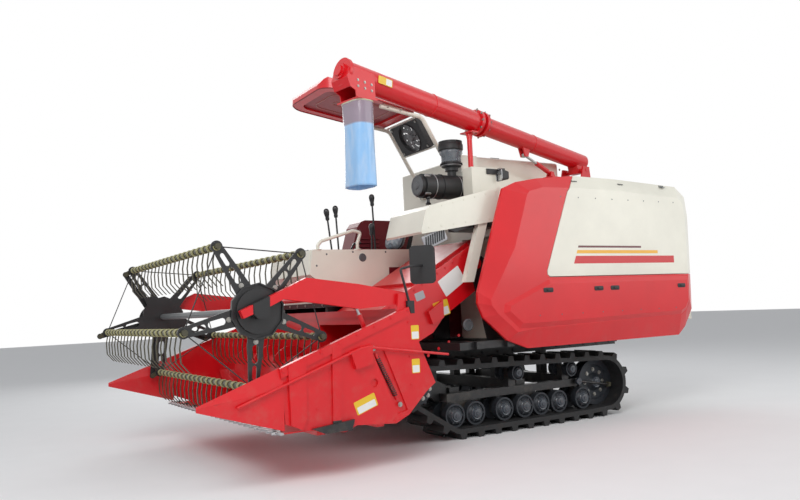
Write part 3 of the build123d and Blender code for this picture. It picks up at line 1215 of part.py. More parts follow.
with BuildPart() as spiders:
    for y in (SPIDER_LEFT_Y, SPIDER_RIGHT_Y):
        with BuildSketch(face_plane(y + SPIDER_T / 2)) as plate:
            with Locations((REEL_X, REEL_Z)):
                RegularPolygon(HUB_R, 2 * REEL_BARS, rotation=18 - REEL_FIRST)
            for i in range(REEL_BARS):
                (x, z), turn = bar_place(i), 90 - REEL_FIRST - i * 360 / REEL_BARS
                arm = [(REEL_X + px * cos(radians(turn)) - py * sin(radians(turn)),
                        REEL_Z + px * sin(radians(turn)) + py * cos(radians(turn)))
                       for px, py in ((100, -ARM_ROOT), (REEL_R, -ARM_TIP),
                                      (REEL_R, ARM_TIP), (100, ARM_ROOT))]
                with BuildLine():
                    Polyline(*arm, close=True)
                make_face()
                with Locations((x, z)):
                    Circle(ARM_TIP + 4)
            for i in range(REEL_BARS):
                (x, z), turn = bar_place(i), 90 - REEL_FIRST - i * 360 / REEL_BARS
                for share, length, width in SLOTS:
                    spot = (REEL_X + (x - REEL_X) * share, REEL_Z + (z - REEL_Z) * share, 0)
                    with Locations(Location(spot, turn)):
                        SlotOverall(length, width, mode=Mode.SUBTRACT)
                with Locations((x, z)):
                    Circle(BAR_R + FIT, mode=Mode.SUBTRACT)
        extrude(plate.sketch, amount=SPIDER_T)
        for i in range(REEL_BARS):
            (x0, z0), (x1, z1) = bar_place(i), bar_place(i + 1)
            length = hypot(x1 - x0, z1 - z0)
            ux, uz = (x1 - x0) / length * 30, (z1 - z0) / length * 30
            rod((x0 + ux, y, z0 + uz), (x1 - ux, y, z1 - uz), 4)
    # folded rim round the left plate and the cover over its bearing
    rim_y = SPIDER_LEFT_Y + SPIDER_T / 2
    with BuildSketch(face_plane(rim_y + 14)) as rim:
        with Locations((REEL_X, REEL_Z)):
            RegularPolygon(HUB_R, 2 * REEL_BARS, rotation=18 - REEL_FIRST)
            RegularPolygon(HUB_R - 10, 2 * REEL_BARS, rotation=18 - REEL_FIRST,
                           mode=Mode.SUBTRACT)
    extrude(rim.sketch, amount=15)
    cross_bar(REEL_X, REEL_Z, COVER_R, rim_y - 1, rim_y + 18)
    cross_bar(REEL_X, REEL_Z, SHAFT_R + FIT, SPIDER_RIGHT_Y - 20, SPIDER_LEFT_Y + 40,
              Mode.SUBTRACT)
save(spiders.part, "reel_spiders")

TINE_LINE = ((0, 0), (16, -95), (10, -185), (-TINE_BACK + 12, -238), (-TINE_BACK, -TINE_DROP))
for i in range(REEL_BARS):
    bx, bz = bar_place(i)
    with BuildPart() as bar:
        cross_bar(bx, bz, BAR_R, BAR_Y0, BAR_Y1)
        front = [(bx + x + TINE_W / 2, bz + z) for x, z in TINE_LINE]
        back = [(bx + x - TINE_W / 2, bz + z) for x, z in reversed(TINE_LINE)]
        with BuildSketch(face_plane(0)) as tine:
            with BuildLine():
                Polyline(*front, *back, close=True)
            make_face()
        count = int((BAR_Y1 - BAR_Y0 - 160) / TINE_PITCH)
        for k in range(count + 1):
            y = BAR_Y0 + 60 + k * (BAR_Y1 - BAR_Y0 - 130) / count
            extrude(Location((0, y + TINE_W / 2, 0)) * tine.sketch, amount=TINE_W)
        # crank and pin at the control ring
        mid = ((2 * bx + CRANK_X) / 2, (2 * bz + CRANK_Z) / 2, 0)
        turn = degrees(atan2(CRANK_Z, CRANK_X))
        with BuildSketch(face_plane(BAR_Y0 + 1)):
            with Locations(Location(mid, turn)):
                SlotOverall(hypot(CRANK_X, CRANK_Z) + 40, 40)
        extrude(amount=10)
        cross_bar(bx + CRANK_X, bz + CRANK_Z, 9, BAR_Y0 - 26, BAR_Y0)
    save(bar.part, f"reel_bar_{i + 1}")

RING_Y = BAR_Y0 - 15.0
with BuildPart() as ring:
    cx, cz = REEL_X + CRANK_X, REEL_Z + CRANK_Z
    with BuildSketch(face_plane(RING_Y)):
        with Locations((cx, cz)):
            Circle(150)
        for i in range(REEL_BARS):
            x, z = bar_place(i)
            x, z = x + CRANK_X, z + CRANK_Z
            turn = degrees(atan2(z - cz, x - cx))
            with Locations(Location(((x + cx) / 2, (z + cz) / 2, 0), turn)):
                Rectangle(REEL_R, 44)
            with Locations((x, z)):
                Circle(24)
        for i in range(REEL_BARS):
            x, z = bar_place(i)
            with Locations((x + CRANK_X, z + CRANK_Z)):
                Circle(9 + FIT, mode=Mode.SUBTRACT)
        with Locations((cx, cz)):
            Circle(110 + FIT, mode=Mode.SUBTRACT)
    extrude(amount=8)
save(ring.part, "reel_control_ring")
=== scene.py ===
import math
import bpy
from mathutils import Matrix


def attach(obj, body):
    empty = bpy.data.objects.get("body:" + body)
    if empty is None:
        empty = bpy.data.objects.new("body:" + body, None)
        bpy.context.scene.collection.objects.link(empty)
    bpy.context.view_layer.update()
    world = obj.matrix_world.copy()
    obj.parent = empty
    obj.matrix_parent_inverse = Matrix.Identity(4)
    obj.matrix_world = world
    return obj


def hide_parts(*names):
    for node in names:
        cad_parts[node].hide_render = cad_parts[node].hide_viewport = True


bl_info = {
    "name": "Combine Harvester Dressing",
    "version": (1, 0, 0),
    "blender": (4, 5, 0),
    "location": "View3D > Sidebar > Combine",
    "description": "Paint, trim, soft parts and studio for a tracked combine harvester",
    "category": "Object",
}

import bmesh
import bpy
from bpy.props import (
    FloatProperty,
    FloatVectorProperty,
    IntProperty,
    PointerProperty,
)
from mathutils import Matrix, Vector

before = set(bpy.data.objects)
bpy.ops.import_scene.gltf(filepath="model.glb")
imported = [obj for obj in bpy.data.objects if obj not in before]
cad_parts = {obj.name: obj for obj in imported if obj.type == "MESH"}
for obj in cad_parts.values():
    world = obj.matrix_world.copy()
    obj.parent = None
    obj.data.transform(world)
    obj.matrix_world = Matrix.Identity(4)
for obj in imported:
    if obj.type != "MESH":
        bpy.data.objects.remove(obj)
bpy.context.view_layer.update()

MM = 0.001
LEFT, RIGHT, UP = (0.0, 1.0, 0.0), (0.0, -1.0, 0.0), (0.0, 0.0, 1.0)
FORWARD, BACK, DOWN = (1.0, 0.0, 0.0), (-1.0, 0.0, 0.0), (0.0, 0.0, -1.0)

# the machine's own measures, in millimetres
MID_Y, HALF_GAUGE = -250.0, 721.0
ROLLER_XS, ROLLER_Z = (178, -38, -353, -586, -781, -1001, -1304), 185.3
CARRIERS = ((-527, 483.4), (-1180, 465.0))
SPROCKET, IDLER = (480, 430), (-1543, 308)
HEAD_Y1, HEAD_Y0 = 1270.0, -1300.0
KNIFE_X, KNIFE_Z, KNIFE_PITCH = 1990.0, 350.0, 76.2
FEEDER_Y1, FEEDER_Y0 = 680.0, -80.0
COVER_Y2, BULGE_Y = 985.0, 1010.0
TANK_RIGHT_Y, TANK_BACK_X, HOOD_BACK_X = -1281.0, -1831.0, -2639.0
REEL, REEL_R, REEL_FIRST, BARS, TINES = (2105, 1123), 492.0, 31.35, 5, 21
BAR_Y0, BAR_Y1 = -1190.0, 1177.0
SPIDER_LEFT_Y, SPIDER_RIGHT_Y = 1140.0, -1160.0
COLUMN, BOOM_AXIS_Z = (-1980.0, 30.0), 2590.0
YAW, RISE = math.radians(9.74), math.radians(7.7)
BOOM_SPLIT = 1545.0
SPOUT_S, SPOUT_DROP = 2975.0, 205.0
FILM_WALL, HEM_WALL = 0.0012, 0.0016      # in metres
FILTER_Y, FILTER_Z, FILTER_R, CLEANER_X = 120.0, 2205.0, 112.0, -265.0
CANOPY_X, CANOPY_Y, RIM_Z, RIM_SLOPE = (-118.0, 904.0), (-970.0, -130.0), 2976.0, 0.144
PAD_VOXEL = 0.007          # in metres
FAN_TURN = math.atan2(642.4, 391.0)
FAN_REACH = 610.0          # from the posts' feet up to the fan
FAN_MIDDLE = (-559 + FAN_REACH * math.cos(FAN_TURN), -498.0,
              2300 + FAN_REACH * math.sin(FAN_TURN))


# ------------------------------------------------------------------ settings
def colour(name, text, value):
    return FloatVectorProperty(
        name=name, description=text, default=value, size=3, subtype="COLOR", min=0.0, max=1.0
    )


class PaintSettings(bpy.types.PropertyGroup):
    """Finishes of the machine's panels and running gear."""

    red: colour("Red", "Header, lower side cover and unloading tube", (0.69, 0.006, 0.012))
    cream: colour("Cream", "Tank, shroud, console and upper side cover", (0.83, 0.81, 0.70))
    # the engine cover's red, darkened to maroon as painted shade
    shaded_red: colour("Shaded red", "Engine cover and canopy lining", (0.17, 0.008, 0.016))
    black: colour("Black", "Reel spiders and track frames", (0.012, 0.012, 0.013))
    iron: colour("Iron", "Rollers, idlers and sprockets", (0.020, 0.023, 0.028))
    rubber: colour("Rubber", "Track belts", (0.010, 0.010, 0.011))
    tine: colour("Tine", "Coated tines and their bars", (0.060, 0.055, 0.030))
    dust: colour("Dust", "Fine dust lying low on the paint", (0.30, 0.26, 0.20))
    film: colour("Film", "Soft sleeve that hangs from the spout", (0.33, 0.62, 0.98))
    gloss: FloatProperty(
        name="Gloss", description="Roughness of fresh paint", default=0.27, min=0.05, max=1.0
    )


class TineSettings(bpy.types.PropertyGroup):
    """Springs of the tines."""

    spring_wire: FloatProperty(
        name="Spring wire", description="Radius of the wire of the tines' springs",
        default=0.0042, unit="LENGTH",
    )
    spring_turns: IntProperty(
        name="Spring turns", description="Turns of each tine's spring", default=4, min=2, max=8
    )


class SoftSettings(bpy.types.PropertyGroup):
    """Seat pads and the hanging sleeve."""

    pad_pressure: FloatProperty(
        name="Pad pressure", description="Air pressure that rounds the pads", default=4.0
    )
    pad_swell: FloatProperty(
        name="Pad swell", description="Farthest that a pad's skin moves out", default=0.012,
        unit="LENGTH",
    )
    sleeve_length: FloatProperty(
        name="Sleeve length", description="Length of the film that hangs from the spout",
        default=0.704, unit="LENGTH",
    )


class StageSettings(bpy.types.PropertyGroup):
    """Camera, floor and lamps."""

    eye: FloatVectorProperty(
        name="Eye", description="Camera place", default=(3.913, 5.781, 1.095),
        size=3, subtype="TRANSLATION",
    )
    heading: FloatProperty(
        name="Heading", description="Turn of the view about the vertical",
        default=math.radians(147.807), subtype="ANGLE",
    )
    tilt: FloatProperty(
        name="Tilt", description="Rise of the view above level",
        default=math.radians(4.459), subtype="ANGLE",
    )
    roll: FloatProperty(
        name="Roll", description="Roll of the camera about its view",
        default=math.radians(-2.7), subtype="ANGLE",
    )
    lens: FloatProperty(
        name="Lens", description="Focal length on a 36 mm sensor", default=33.95, unit="CAMERA"
    )
    backdrop: colour("Backdrop", "Floor and background", (0.94, 0.94, 0.945))
    lamp_power: FloatProperty(
        name="Key power", description="Power of the key lamp", default=330.0, unit="POWER"
    )


# ------------------------------------------------------------------ node helpers
class Nodes:
    """Short ways to add nodes to a tree."""

    def __init__(self, tree):
        self.tree = tree

    def node(self, kind, settings=None, **values):
        """Add a node: settings are its own values, values those of its inputs."""
        made = self.tree.nodes.new(kind)
        for key, value in (settings or {}).items():
            setattr(made, key, value)
        for key, value in values.items():
            self.feed(made.inputs[key.replace("_", " ")], value)
        return made

    def feed(self, socket, value):
        if isinstance(value, bpy.types.NodeSocket):
            self.tree.links.new(value, socket)
        else:
            socket.default_value = value

    def math(self, operation, a, b):
        made = self.node("ShaderNodeMath", {"operation": operation})
        self.feed(made.inputs[0], a)
        self.feed(made.inputs[1], b)
        return made.outputs[0]


class Shader(Nodes):
    """A material under construction."""

    def __init__(self, name):
        self.material = bpy.data.materials.new(name)
        self.material.use_nodes = True
        super().__init__(self.material.node_tree)
        self.surface = self.tree.nodes["Principled BSDF"]
        self.place = self.node("ShaderNodeTexCoord").outputs["Object"]

    def set(self, **values):
        for key, value in values.items():
            self.feed(self.surface.inputs[key.replace("_", " ")], value)

    def noise(self, scale, detail=4.0, roughness=0.5, vector=None):
        made = self.node("ShaderNodeTexNoise", Scale=scale, Detail=detail, Roughness=roughness,
                         Vector=vector or self.place)
        return made.outputs["Fac"]

    def stretched(self, scale):
        return self.node("ShaderNodeMapping", Scale=scale, Vector=self.place).outputs["Vector"]

    def ramp(self, source, low, high, start=0.0, end=1.0):
        """Map source from low..high to start..end, clamped."""
        made = self.node("ShaderNodeMapRange", Value=source, From_Min=low, From_Max=high,
                         To_Min=start, To_Max=end)
        return made.outputs["Result"]

    def blend(self, share, first, second):
        """Mix two colours or sockets by share."""
        made = self.node("ShaderNodeMix", {"data_type": "RGBA"})
        self.feed(made.inputs[0], share)
        for socket, value in ((made.inputs[6], first), (made.inputs[7], second)):
            self.feed(socket, (*value[:3], 1.0) if isinstance(value, (tuple, list)) else value)
        return made.outputs[2]

    def axis(self, letter):
        """Place along one axis of the machine, in metres."""
        return self.node("ShaderNodeSeparateXYZ", Vector=self.place).outputs[letter]

    def within(self, letter, low, high):
        """1 between low and high millimetres along an axis, 0 outside."""
        place = self.axis(letter)
        above = self.math("GREATER_THAN", place, low * MM)
        return self.math("MULTIPLY", above, self.math("LESS_THAN", place, high * MM))

    def shade(self, source, low, high, first, second):
        """Colour from first to second as source goes from low to high."""
        self.set(Base_Color=self.blend(self.ramp(source, low, high), first, second))

    def rough(self, source, low, high, start, end):
        self.set(Roughness=self.ramp(source, low, high, start, end))

    def bump(self, source, strength, distance):
        made = self.node("ShaderNodeBump", Strength=strength, Distance=distance, Height=source)
        self.set(Normal=made.outputs["Normal"])


def scaled(base, factor, more=0.0):
    return tuple(min(1.0, c * factor + more) for c in base)


def sprayed_paint(name, base, roughness, dust, coat=0.22, masked=None):
    """Sprayed enamel with faint orange peel, cloudy gloss and low dust.

    masked is (limits by axis, colour): the part of the solid inside the limits is
    sprayed in that second colour.
    """
    shader = Shader(name)
    shader.set(Metallic=0.0, Coat_Weight=coat, Coat_Roughness=0.12)
    cloud = shader.noise(1.7, 5.0, 0.6)
    tint = shader.blend(shader.ramp(cloud, 0.35, 0.7), scaled(base, 0.93), scaled(base, 1.05))
    if masked:
        limits, second = masked
        inside = None
        for letter, (low, high) in limits.items():
            part = shader.within(letter, low, high)
            inside = part if inside is None else shader.math("MULTIPLY", inside, part)
        tint = shader.blend(inside, tint, second)
    speck = shader.noise(9.0, 6.0, 0.7)
    low = shader.ramp(shader.axis("Z"), 1.1, 0.1)
    veil = shader.math("MULTIPLY", shader.ramp(speck, 0.48, 0.8, 0.0, 0.32), low)
    shader.set(Base_Color=shader.blend(veil, tint, dust))
    shader.rough(speck, 0.2, 0.9, roughness, roughness + 0.14)
    shader.bump(shader.noise(240.0, 2.0), 0.05, 0.0006)
    return shader.material


def moulded_plastic(name, base, roughness=0.45):
    """Moulded plastic with a fine leather-like grain."""
    shader = Shader(name)
    cells = shader.node("ShaderNodeTexVoronoi", Scale=420.0, Vector=shader.place)
    shade = shader.noise(3.0, 4.0)
    shader.shade(shade, 0.3, 0.7, base, scaled(base, 1.5, 0.004))
    shader.rough(shade, 0.2, 0.8, roughness, roughness + 0.15)
    shader.bump(cells.outputs["Distance"], 0.12, 0.0005)
    return shader.material


def belt_rubber(name, base, dust):
    """Vulcanised rubber, chalky on its high spots."""
    shader = Shader(name)
    grime = shader.noise(14.0, 8.0, 0.65)
    chalk = shader.ramp(grime, 0.52, 0.8, 0.0, 0.22)
    shader.set(Base_Color=shader.blend(chalk, base, scaled(dust, 0.4)))
    shader.rough(grime, 0.3, 0.7, 0.5, 0.78)
    shader.bump(shader.noise(90.0, 6.0, 0.6), 0.25, 0.0015)
    return shader.material


def cast_iron(name, base):
    """Painted casting with a sandy skin."""
    shader = Shader(name)
    shader.set(Metallic=0.25)
    skin = shader.noise(60.0, 8.0, 0.7)
    shader.shade(skin, 0.35, 0.75, base, scaled(base, 2.0))
    shader.rough(skin, 0.2, 0.8, 0.38, 0.6)
    shader.bump(skin, 0.3, 0.001)
    return shader.material


def bright_steel(name, base, roughness=0.25):
    """Drawn steel with long fine lines."""
    shader = Shader(name)
    shader.set(Metallic=1.0)
    lines = shader.noise(6.0, 3.0, 0.5, shader.stretched((4.0, 4.0, 160.0)))
    shader.shade(lines, 0.3, 0.7, base, scaled(base, 0.8))
    shader.rough(lines, 0.2, 0.8, roughness, roughness + 0.15)
    return shader.material


def clear_film(name, tint, opacity, roughness=0.18, above=None):
    """Thin soft film, half clear, with pale streaks of painted sheen and fine creases.

    above is (height in millimetres, tint, opacity) of the film's upper part.
    """
    shader = Shader(name)
    shader.set(Roughness=roughness, IOR=1.45, Alpha=opacity, Coat_Weight=0.4)
    sheen_streaks = shader.noise(5.0, 4.0, 0.6, shader.stretched((1.0, 1.0, 0.35)))
    # painted sheen: pale streaks stand for light on the film's creases
    shade = shader.blend(shader.ramp(sheen_streaks, 0.45, 0.72), tint, scaled(tint, 0.5, 0.45))
    if above:
        height, second, clear = above
        seam = (shader.axis("Z"), (height - 8) * MM, (height + 8) * MM)
        shade = shader.blend(shader.ramp(*seam), shade, second)
        shader.set(Alpha=shader.ramp(*seam, opacity, clear))
    shader.set(Base_Color=shade)
    shader.bump(shader.noise(18.0, 5.0, 0.6), 0.3, 0.004)
    return shader.material


def printed_label(name, base):
    """Printed vinyl with a soft sheen and a few scuffs."""
    shader = Shader(name)
    shader.set(Coat_Weight=0.3, Coat_Roughness=0.2)
    scuff = shader.noise(35.0, 7.0, 0.7)
    worn = shader.ramp(scuff, 0.62, 0.8, 0.0, 0.35)
    shader.set(Base_Color=shader.blend(worn, base, scaled(base, 0.7)))
    shader.rough(scuff, 0.3, 0.8, 0.3, 0.5)
    return shader.material


def seat_wrap(name, base):
    """Ribbed vinyl under a loose clear cover with long creases, coloured lighter along them as
    painted sheen.
    """
    shader = Shader(name)
    shader.set(Coat_Weight=1.0, Coat_Roughness=0.08)
    crease_and_sheen = shader.noise(7.0, 6.0, 0.62, shader.stretched((1.0, 2.2, 1.0)))
    # painted sheen: the cover's creases are coloured lighter, as light catching them
    shader.shade(crease_and_sheen, 0.45, 0.62, base, scaled(base, 0.45, 0.38))
    shader.rough(crease_and_sheen, 0.3, 0.7, 0.22, 0.42)
    shader.bump(crease_and_sheen, 0.7, 0.012)
    return shader.material


def lamp_glass(name, base):
    """Clear fluted glass over a bright bowl."""
    shader = Shader(name)
    shader.set(Roughness=0.08, Metallic=0.85, Coat_Weight=1.0)
    flutes = shader.node("ShaderNodeTexWave", {"bands_direction": "Y"}, Scale=22.0,
                         Vector=shader.place)
    shader.set(Base_Color=shader.blend(flutes.outputs["Fac"], base, scaled(base, 1.2)))
    shader.bump(flutes.outputs["Fac"], 0.3, 0.003)
    return shader.material


# ------------------------------------------------------------------ mesh helpers
def seat_matrix(origin, way=UP, along=None):
    """Local Z to way and local X near along, in millimetres."""
    z = Vector(way).normalized()
    if along is None:
        along = FORWARD if abs(z.x) < 0.9 else UP
    x = (Vector(along) - z * Vector(along).dot(z)).normalized()
    turn = Matrix((x, z.cross(x), z)).transposed().to_4x4()
    return Matrix.Translation(origin) @ turn


def close_mesh(made, name, place, material, smooth):
    bmesh.ops.remove_doubles(made, verts=made.verts, dist=0.01)
    bmesh.ops.recalc_face_normals(made, faces=made.faces)
    bmesh.ops.transform(made, matrix=Matrix.Scale(MM, 4) @ place, verts=made.verts)
    mesh = bpy.data.meshes.new(name)
    made.to_mesh(mesh)
    made.free()
    if material:
        mesh.materials.append(material)
    if smooth:
        mesh.shade_smooth()
        mesh.set_sharp_from_angle(angle=math.radians(smooth))
    return mesh


def linked(name, data):
    """New object in the scene's collection."""
    made = bpy.data.objects.new(name, data)
    bpy.context.collection.objects.link(made)
    return made


def dress(name, maker, key, body, place=None, smooth=35):
    """Make a piece in millimetres, give it its finish and let it ride on a body."""
    made = bmesh.new()
    maker(made)
    mesh = close_mesh(made, name, place or Matrix.Identity(4), finish(key), smooth)
    piece = linked(name, mesh)
    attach(piece, body)
    return piece


def rounded_outline(length, width, corner, steps=4):
    """Rounded rectangle round the origin."""
    points = []
    for sx, sy, start in ((1, 1, 0), (-1, 1, 90), (-1, -1, 180), (1, -1, 270)):
        for i in range(steps + 1):
            turn = math.radians(start + 90 * i / steps)
            points.append((
                sx * (length / 2 - corner) + corner * math.cos(turn),
                sy * (width / 2 - corner) + corner * math.sin(turn),
            ))
    return points


def wrap(made, low, high):
    """Faces between two rings of equal count."""
    for i in range(len(low)):
        j = (i + 1) % len(low)
        made.faces.new((low[i], low[j], high[j], high[i]))


def prism(outline, depth, bevel=0.0, base=0.0):
    """Plate standing on the local XY plane, with its top edge eased."""
    def maker(made):
        low = [made.verts.new((x, y, base)) for x, y in outline]
        high = [made.verts.new((x, y, base + depth)) for x, y in outline]
        made.faces.new(list(reversed(low)))
        top = made.faces.new(high)
        wrap(made, low, high)
        if bevel:
            bmesh.ops.bevel(
                made, geom=list(top.edges), offset=bevel, segments=2, affect="EDGES",
                profile=0.5,
            )
    return maker


def plate(length, width, corner, depth, bevel=0.0, base=0.0):
    return prism(rounded_outline(length, width, corner), depth, bevel, base)


def lathe(outline, segments=28):
    """Turned piece: (radius, height) points round the local Z axis, closed at the ends."""
    def maker(made):
        rings = []
        for radius, height in outline:
            count = 1 if radius == 0 else segments
            rings.append([
                made.verts.new((
                    radius * math.cos(2 * math.pi * i / segments),
                    radius * math.sin(2 * math.pi * i / segments), height,
                ))
                for i in range(count)
            ])
        for low, high in zip(rings, rings[1:]):
            for i in range(segments):
                j = (i + 1) % segments
                corners = []
                for vert in (low[i % len(low)], low[j % len(low)],
                             high[j % len(high)], high[i % len(high)]):
                    if vert not in corners:
                        corners.append(vert)
                if len(corners) > 2:
                    made.faces.new(corners)
        for ring in (rings[0], rings[-1]):
            if len(ring) > 1:
                made.faces.new(ring)
    return maker


def tube(points, radius, sides=12):
    """Round bar or pipe along the points, with capped ends."""
    def maker(made):
        path = [Vector(p) for p in points]
        way = (path[1] - path[0]).normalized()
        side = way.orthogonal().normalized()
        rings = []
        for i, spot in enumerate(path):
            ahead = (path[min(i + 1, len(path) - 1)] - path[max(i - 1, 0)]).normalized()
            side = (side - ahead * side.dot(ahead)).normalized()
            up = ahead.cross(side)
            rings.append([
                made.verts.new(
                    spot + radius * (side * math.cos(2 * math.pi * k / sides)
                                     + up * math.sin(2 * math.pi * k / sides))
                )
                for k in range(sides)
            ])
        for low, high in zip(rings, rings[1:]):
            wrap(made, low, high)
        made.faces.new(rings[0])
        made.faces.new(rings[-1])
    return maker


def joined(*makers):
    def maker(made):
        for each in makers:
            each(made)
    return maker


def bead(name, points, radius, key, body="machine"):
    """Round bar that closes along the points."""
    return dress(name, tube([*points, points[0]], radius, 8), key, body, smooth=60)


def moved(maker, place):
    """The maker's shape, put at a place of its own."""
    def placed(made):
        before = set(made.verts)
        maker(made)
        fresh = [v for v in made.verts if v not in before]
        bmesh.ops.transform(made, matrix=place, verts=fresh)
    return placed


def repaint(node, material):
    """Give a CAD node its finish."""
    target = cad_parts[node]
    target.data.materials.clear()
    target.data.materials.append(material)


FINISHES = {}


def finish(key):
    return FINISHES[key]


# ------------------------------------------------------------------ repeating trees
class PointTree(Nodes):
    """A node tree that repeats a small shape at marked points and dresses it."""

    def __init__(self, name, sizes):
        super().__init__(bpy.data.node_groups.new(name, "GeometryNodeTree"))
        face = self.tree.interface
        face.new_socket("Points", in_out="INPUT", socket_type="NodeSocketGeometry")
        face.new_socket("Mesh", in_out="OUTPUT", socket_type="NodeSocketGeometry")
        self.sockets = {}
        for label, kind, value in (*sizes, ("Finish", "Material", None)):
            made = face.new_socket(label, in_out="INPUT", socket_type="NodeSocket" + kind)
            if value is not None:
                made.default_value = value
            self.sockets[label] = made.identifier
        self.given = self.tree.nodes.new("NodeGroupInput")
        self.result = self.tree.nodes.new("NodeGroupOutput")

    def size(self, label):
        return self.given.outputs[label]

    def lifted(self, mesh, height):
        """The mesh raised along its own Z."""
        place = self.node("ShaderNodeCombineXYZ", Z=height).outputs[0]
        return self.node("GeometryNodeTransform", Geometry=mesh, Translation=place).outputs[0]

    def disc(self, sides, radius, depth, base):
        """Cylinder of a given depth standing at base."""
        body = self.node(
            "GeometryNodeMeshCylinder", Vertices=sides, Radius=radius, Depth=depth
        ).outputs["Mesh"]
        return self.lifted(body, self.math("ADD", self.math("MULTIPLY", depth, 0.5), base))

    def join(self, *meshes):
        made = self.node("GeometryNodeJoinGeometry")
        for mesh in meshes:
            self.tree.links.new(mesh, made.inputs[0])
        return made.outputs[0]

    def close(self, shape):
        """Repeat the shape at every point, turned to the point's way."""
        way = self.node(
            "GeometryNodeInputNamedAttribute", {"data_type": "FLOAT_VECTOR"}, Name="way"
        )
        turn = self.node(
            "FunctionNodeAlignRotationToVector", {"axis": "Z"}, Vector=way.outputs["Attribute"]
        )
        placed = self.node(
            "GeometryNodeInstanceOnPoints", Points=self.given.outputs["Points"],
            Instance=shape, Rotation=turn.outputs[0],
        )
        real = self.node("GeometryNodeRealizeInstances", Geometry=placed.outputs[0])
        dressed = self.node(
            "GeometryNodeSetMaterial", Geometry=real.outputs[0], Material=self.size("Finish")
        )
        self.tree.links.new(dressed.outputs[0], self.result.inputs[0])
        return self


def bolt_tree():
    """Hexagon head on a round washer."""
    made = PointTree("bolt", (("Head", "Float", 0.009), ("Rise", "Float", 0.007)))
    head, rise = made.size("Head"), made.size("Rise")
    washer = made.disc(12, made.math("MULTIPLY", head, 1.45), made.math("MULTIPLY", rise, 0.3), 0.0)
    hexagon = made.disc(6, head, made.math("MULTIPLY", rise, 0.7), made.math("MULTIPLY", rise, 0.3))
    return made.close(made.join(washer, hexagon))


def slat_tree():
    """Flat bar with a length, a width and a rise."""
    made = PointTree("slat", (("Size", "Vector", (0.1, 0.01, 0.005)),))
    bar = made.node("GeometryNodeMeshCube", Size=made.size("Size"))
    return made.close(bar.outputs["Mesh"])


def ring_tree():
    """Round wire bent to a ring."""
    made = PointTree("ring", (("Ring", "Float", 0.1), ("Wire", "Float", 0.004)))
    path = made.node("GeometryNodeCurvePrimitiveCircle", Resolution=40, Radius=made.size("Ring"))
    section = made.node("GeometryNodeCurvePrimitiveCircle", Resolution=8, Radius=made.size("Wire"))
    body = made.node(
        "GeometryNodeCurveToMesh", Curve=path.outputs[0], Profile_Curve=section.outputs[0]
    )
    return made.close(body.outputs[0])


def coil_tree():
    """Helical spring round the point's way, centred on the point."""
    made = PointTree(
        "coil",
        (("Turns", "Float", 4.0), ("Coil", "Float", 0.024), ("Length", "Float", 0.035),
         ("Wire", "Float", 0.004)),
    )
    length = made.size("Length")
    path = made.node(
        "GeometryNodeCurveSpiral", Resolution=10, Rotations=made.size("Turns"),
        Start_Radius=made.size("Coil"), End_Radius=made.size("Coil"), Height=length,
    )
    section = made.node("GeometryNodeCurvePrimitiveCircle", Resolution=5, Radius=made.size("Wire"))
    body = made.node(
        "GeometryNodeCurveToMesh", Curve=path.outputs[0], Profile_Curve=section.outputs[0],
        Fill_Caps=True,
    )
    return made.close(made.lifted(body.outputs[0], made.math("MULTIPLY", length, -0.5)))


def shape_tree():
    """Any small shape that is handed in."""
    made = PointTree("shape", (("Shape", "Object", None),))
    body = made.node("GeometryNodeObjectInfo", Object=made.size("Shape"))
    return made.close(body.outputs["Geometry"])


TREES = {}


def repeat(name, tree, spots, way, body, key, **sizes):
    """Repeat a tree's shape at spots in millimetres, facing way, riding on a body."""
    if tree not in TREES:
        TREES[tree] = tree()
    built = TREES[tree]
    ways = [way] * len(spots) if isinstance(way[0], (int, float)) else way
    points = bpy.data.meshes.new(name + "_points")
    points.from_pydata([Vector(s) * MM for s in spots], [], [])
    facing = points.attributes.new("way", "FLOAT_VECTOR", "POINT")
    facing.data.foreach_set("vector", [c for each in ways for c in each])
    carrier = linked(name + "_points", points)
    modifier = carrier.modifiers.new("repeat", "NODES")
    modifier.node_group = built.tree
    modifier[built.sockets["Finish"]] = finish(key)
    for label, value in sizes.items():
        if isinstance(value, (int, float)) and label != "Turns":
            value = float(value * MM)
        elif isinstance(value, tuple):
            value = [float(v * MM) for v in value]
        modifier[built.sockets[label]] = value
    shown = carrier.evaluated_get(bpy.context.evaluated_depsgraph_get())
    mesh = bpy.data.meshes.new_from_object(shown)
    mesh.name = name
    bpy.data.objects.remove(carrier)
    if tree in (shape_tree, coil_tree, ring_tree):
        mesh.shade_smooth()
        mesh.set_sharp_from_angle(angle=math.radians(40))
    piece = linked(name, mesh)
    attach(piece, body)
    return piece


def bolts(name, spots, way, body, key="bolt", head=9.0, rise=7.0):
    return repeat(name, bolt_tree, spots, way, body, key, Head=head, Rise=rise)


def copies(name, maker, spots, way, body, key):
    """Repeat a turned or cut shape, made once in millimetres."""
    made = bmesh.new()
    maker(made)
    mesh = close_mesh(made, name + "_shape", Matrix.Identity(4), None, 40)
    shape = linked(name + "_shape", mesh)
    piece = repeat(name, shape_tree, spots, way, body, key, Shape=shape)
    bpy.data.objects.remove(shape)
    return piece


def ring_spots(centre, way, radius, count, first=0.0):
    """Spots evenly round a centre, in the plane across way."""
    place = seat_matrix(centre, way)
    return [
        place @ Vector((radius * math.cos(t), radius * math.sin(t), 0.0))
        for t in (math.radians(first + 360 * i / count) for i in range(count))
    ]


class Places:
    """Spots with the way that each of them faces."""

    def __init__(self):
        self.spots, self.ways = [], []

    def add(self, way, *spots):
        self.spots.extend(spots)
        self.ways.extend([way] * len(spots))


def run_spots(start, end, count):
    """Spots evenly along a straight line, with both its ends."""
    a, b = Vector(start), Vector(end)
    return [a.lerp(b, i / (count - 1)) for i in range(count)]


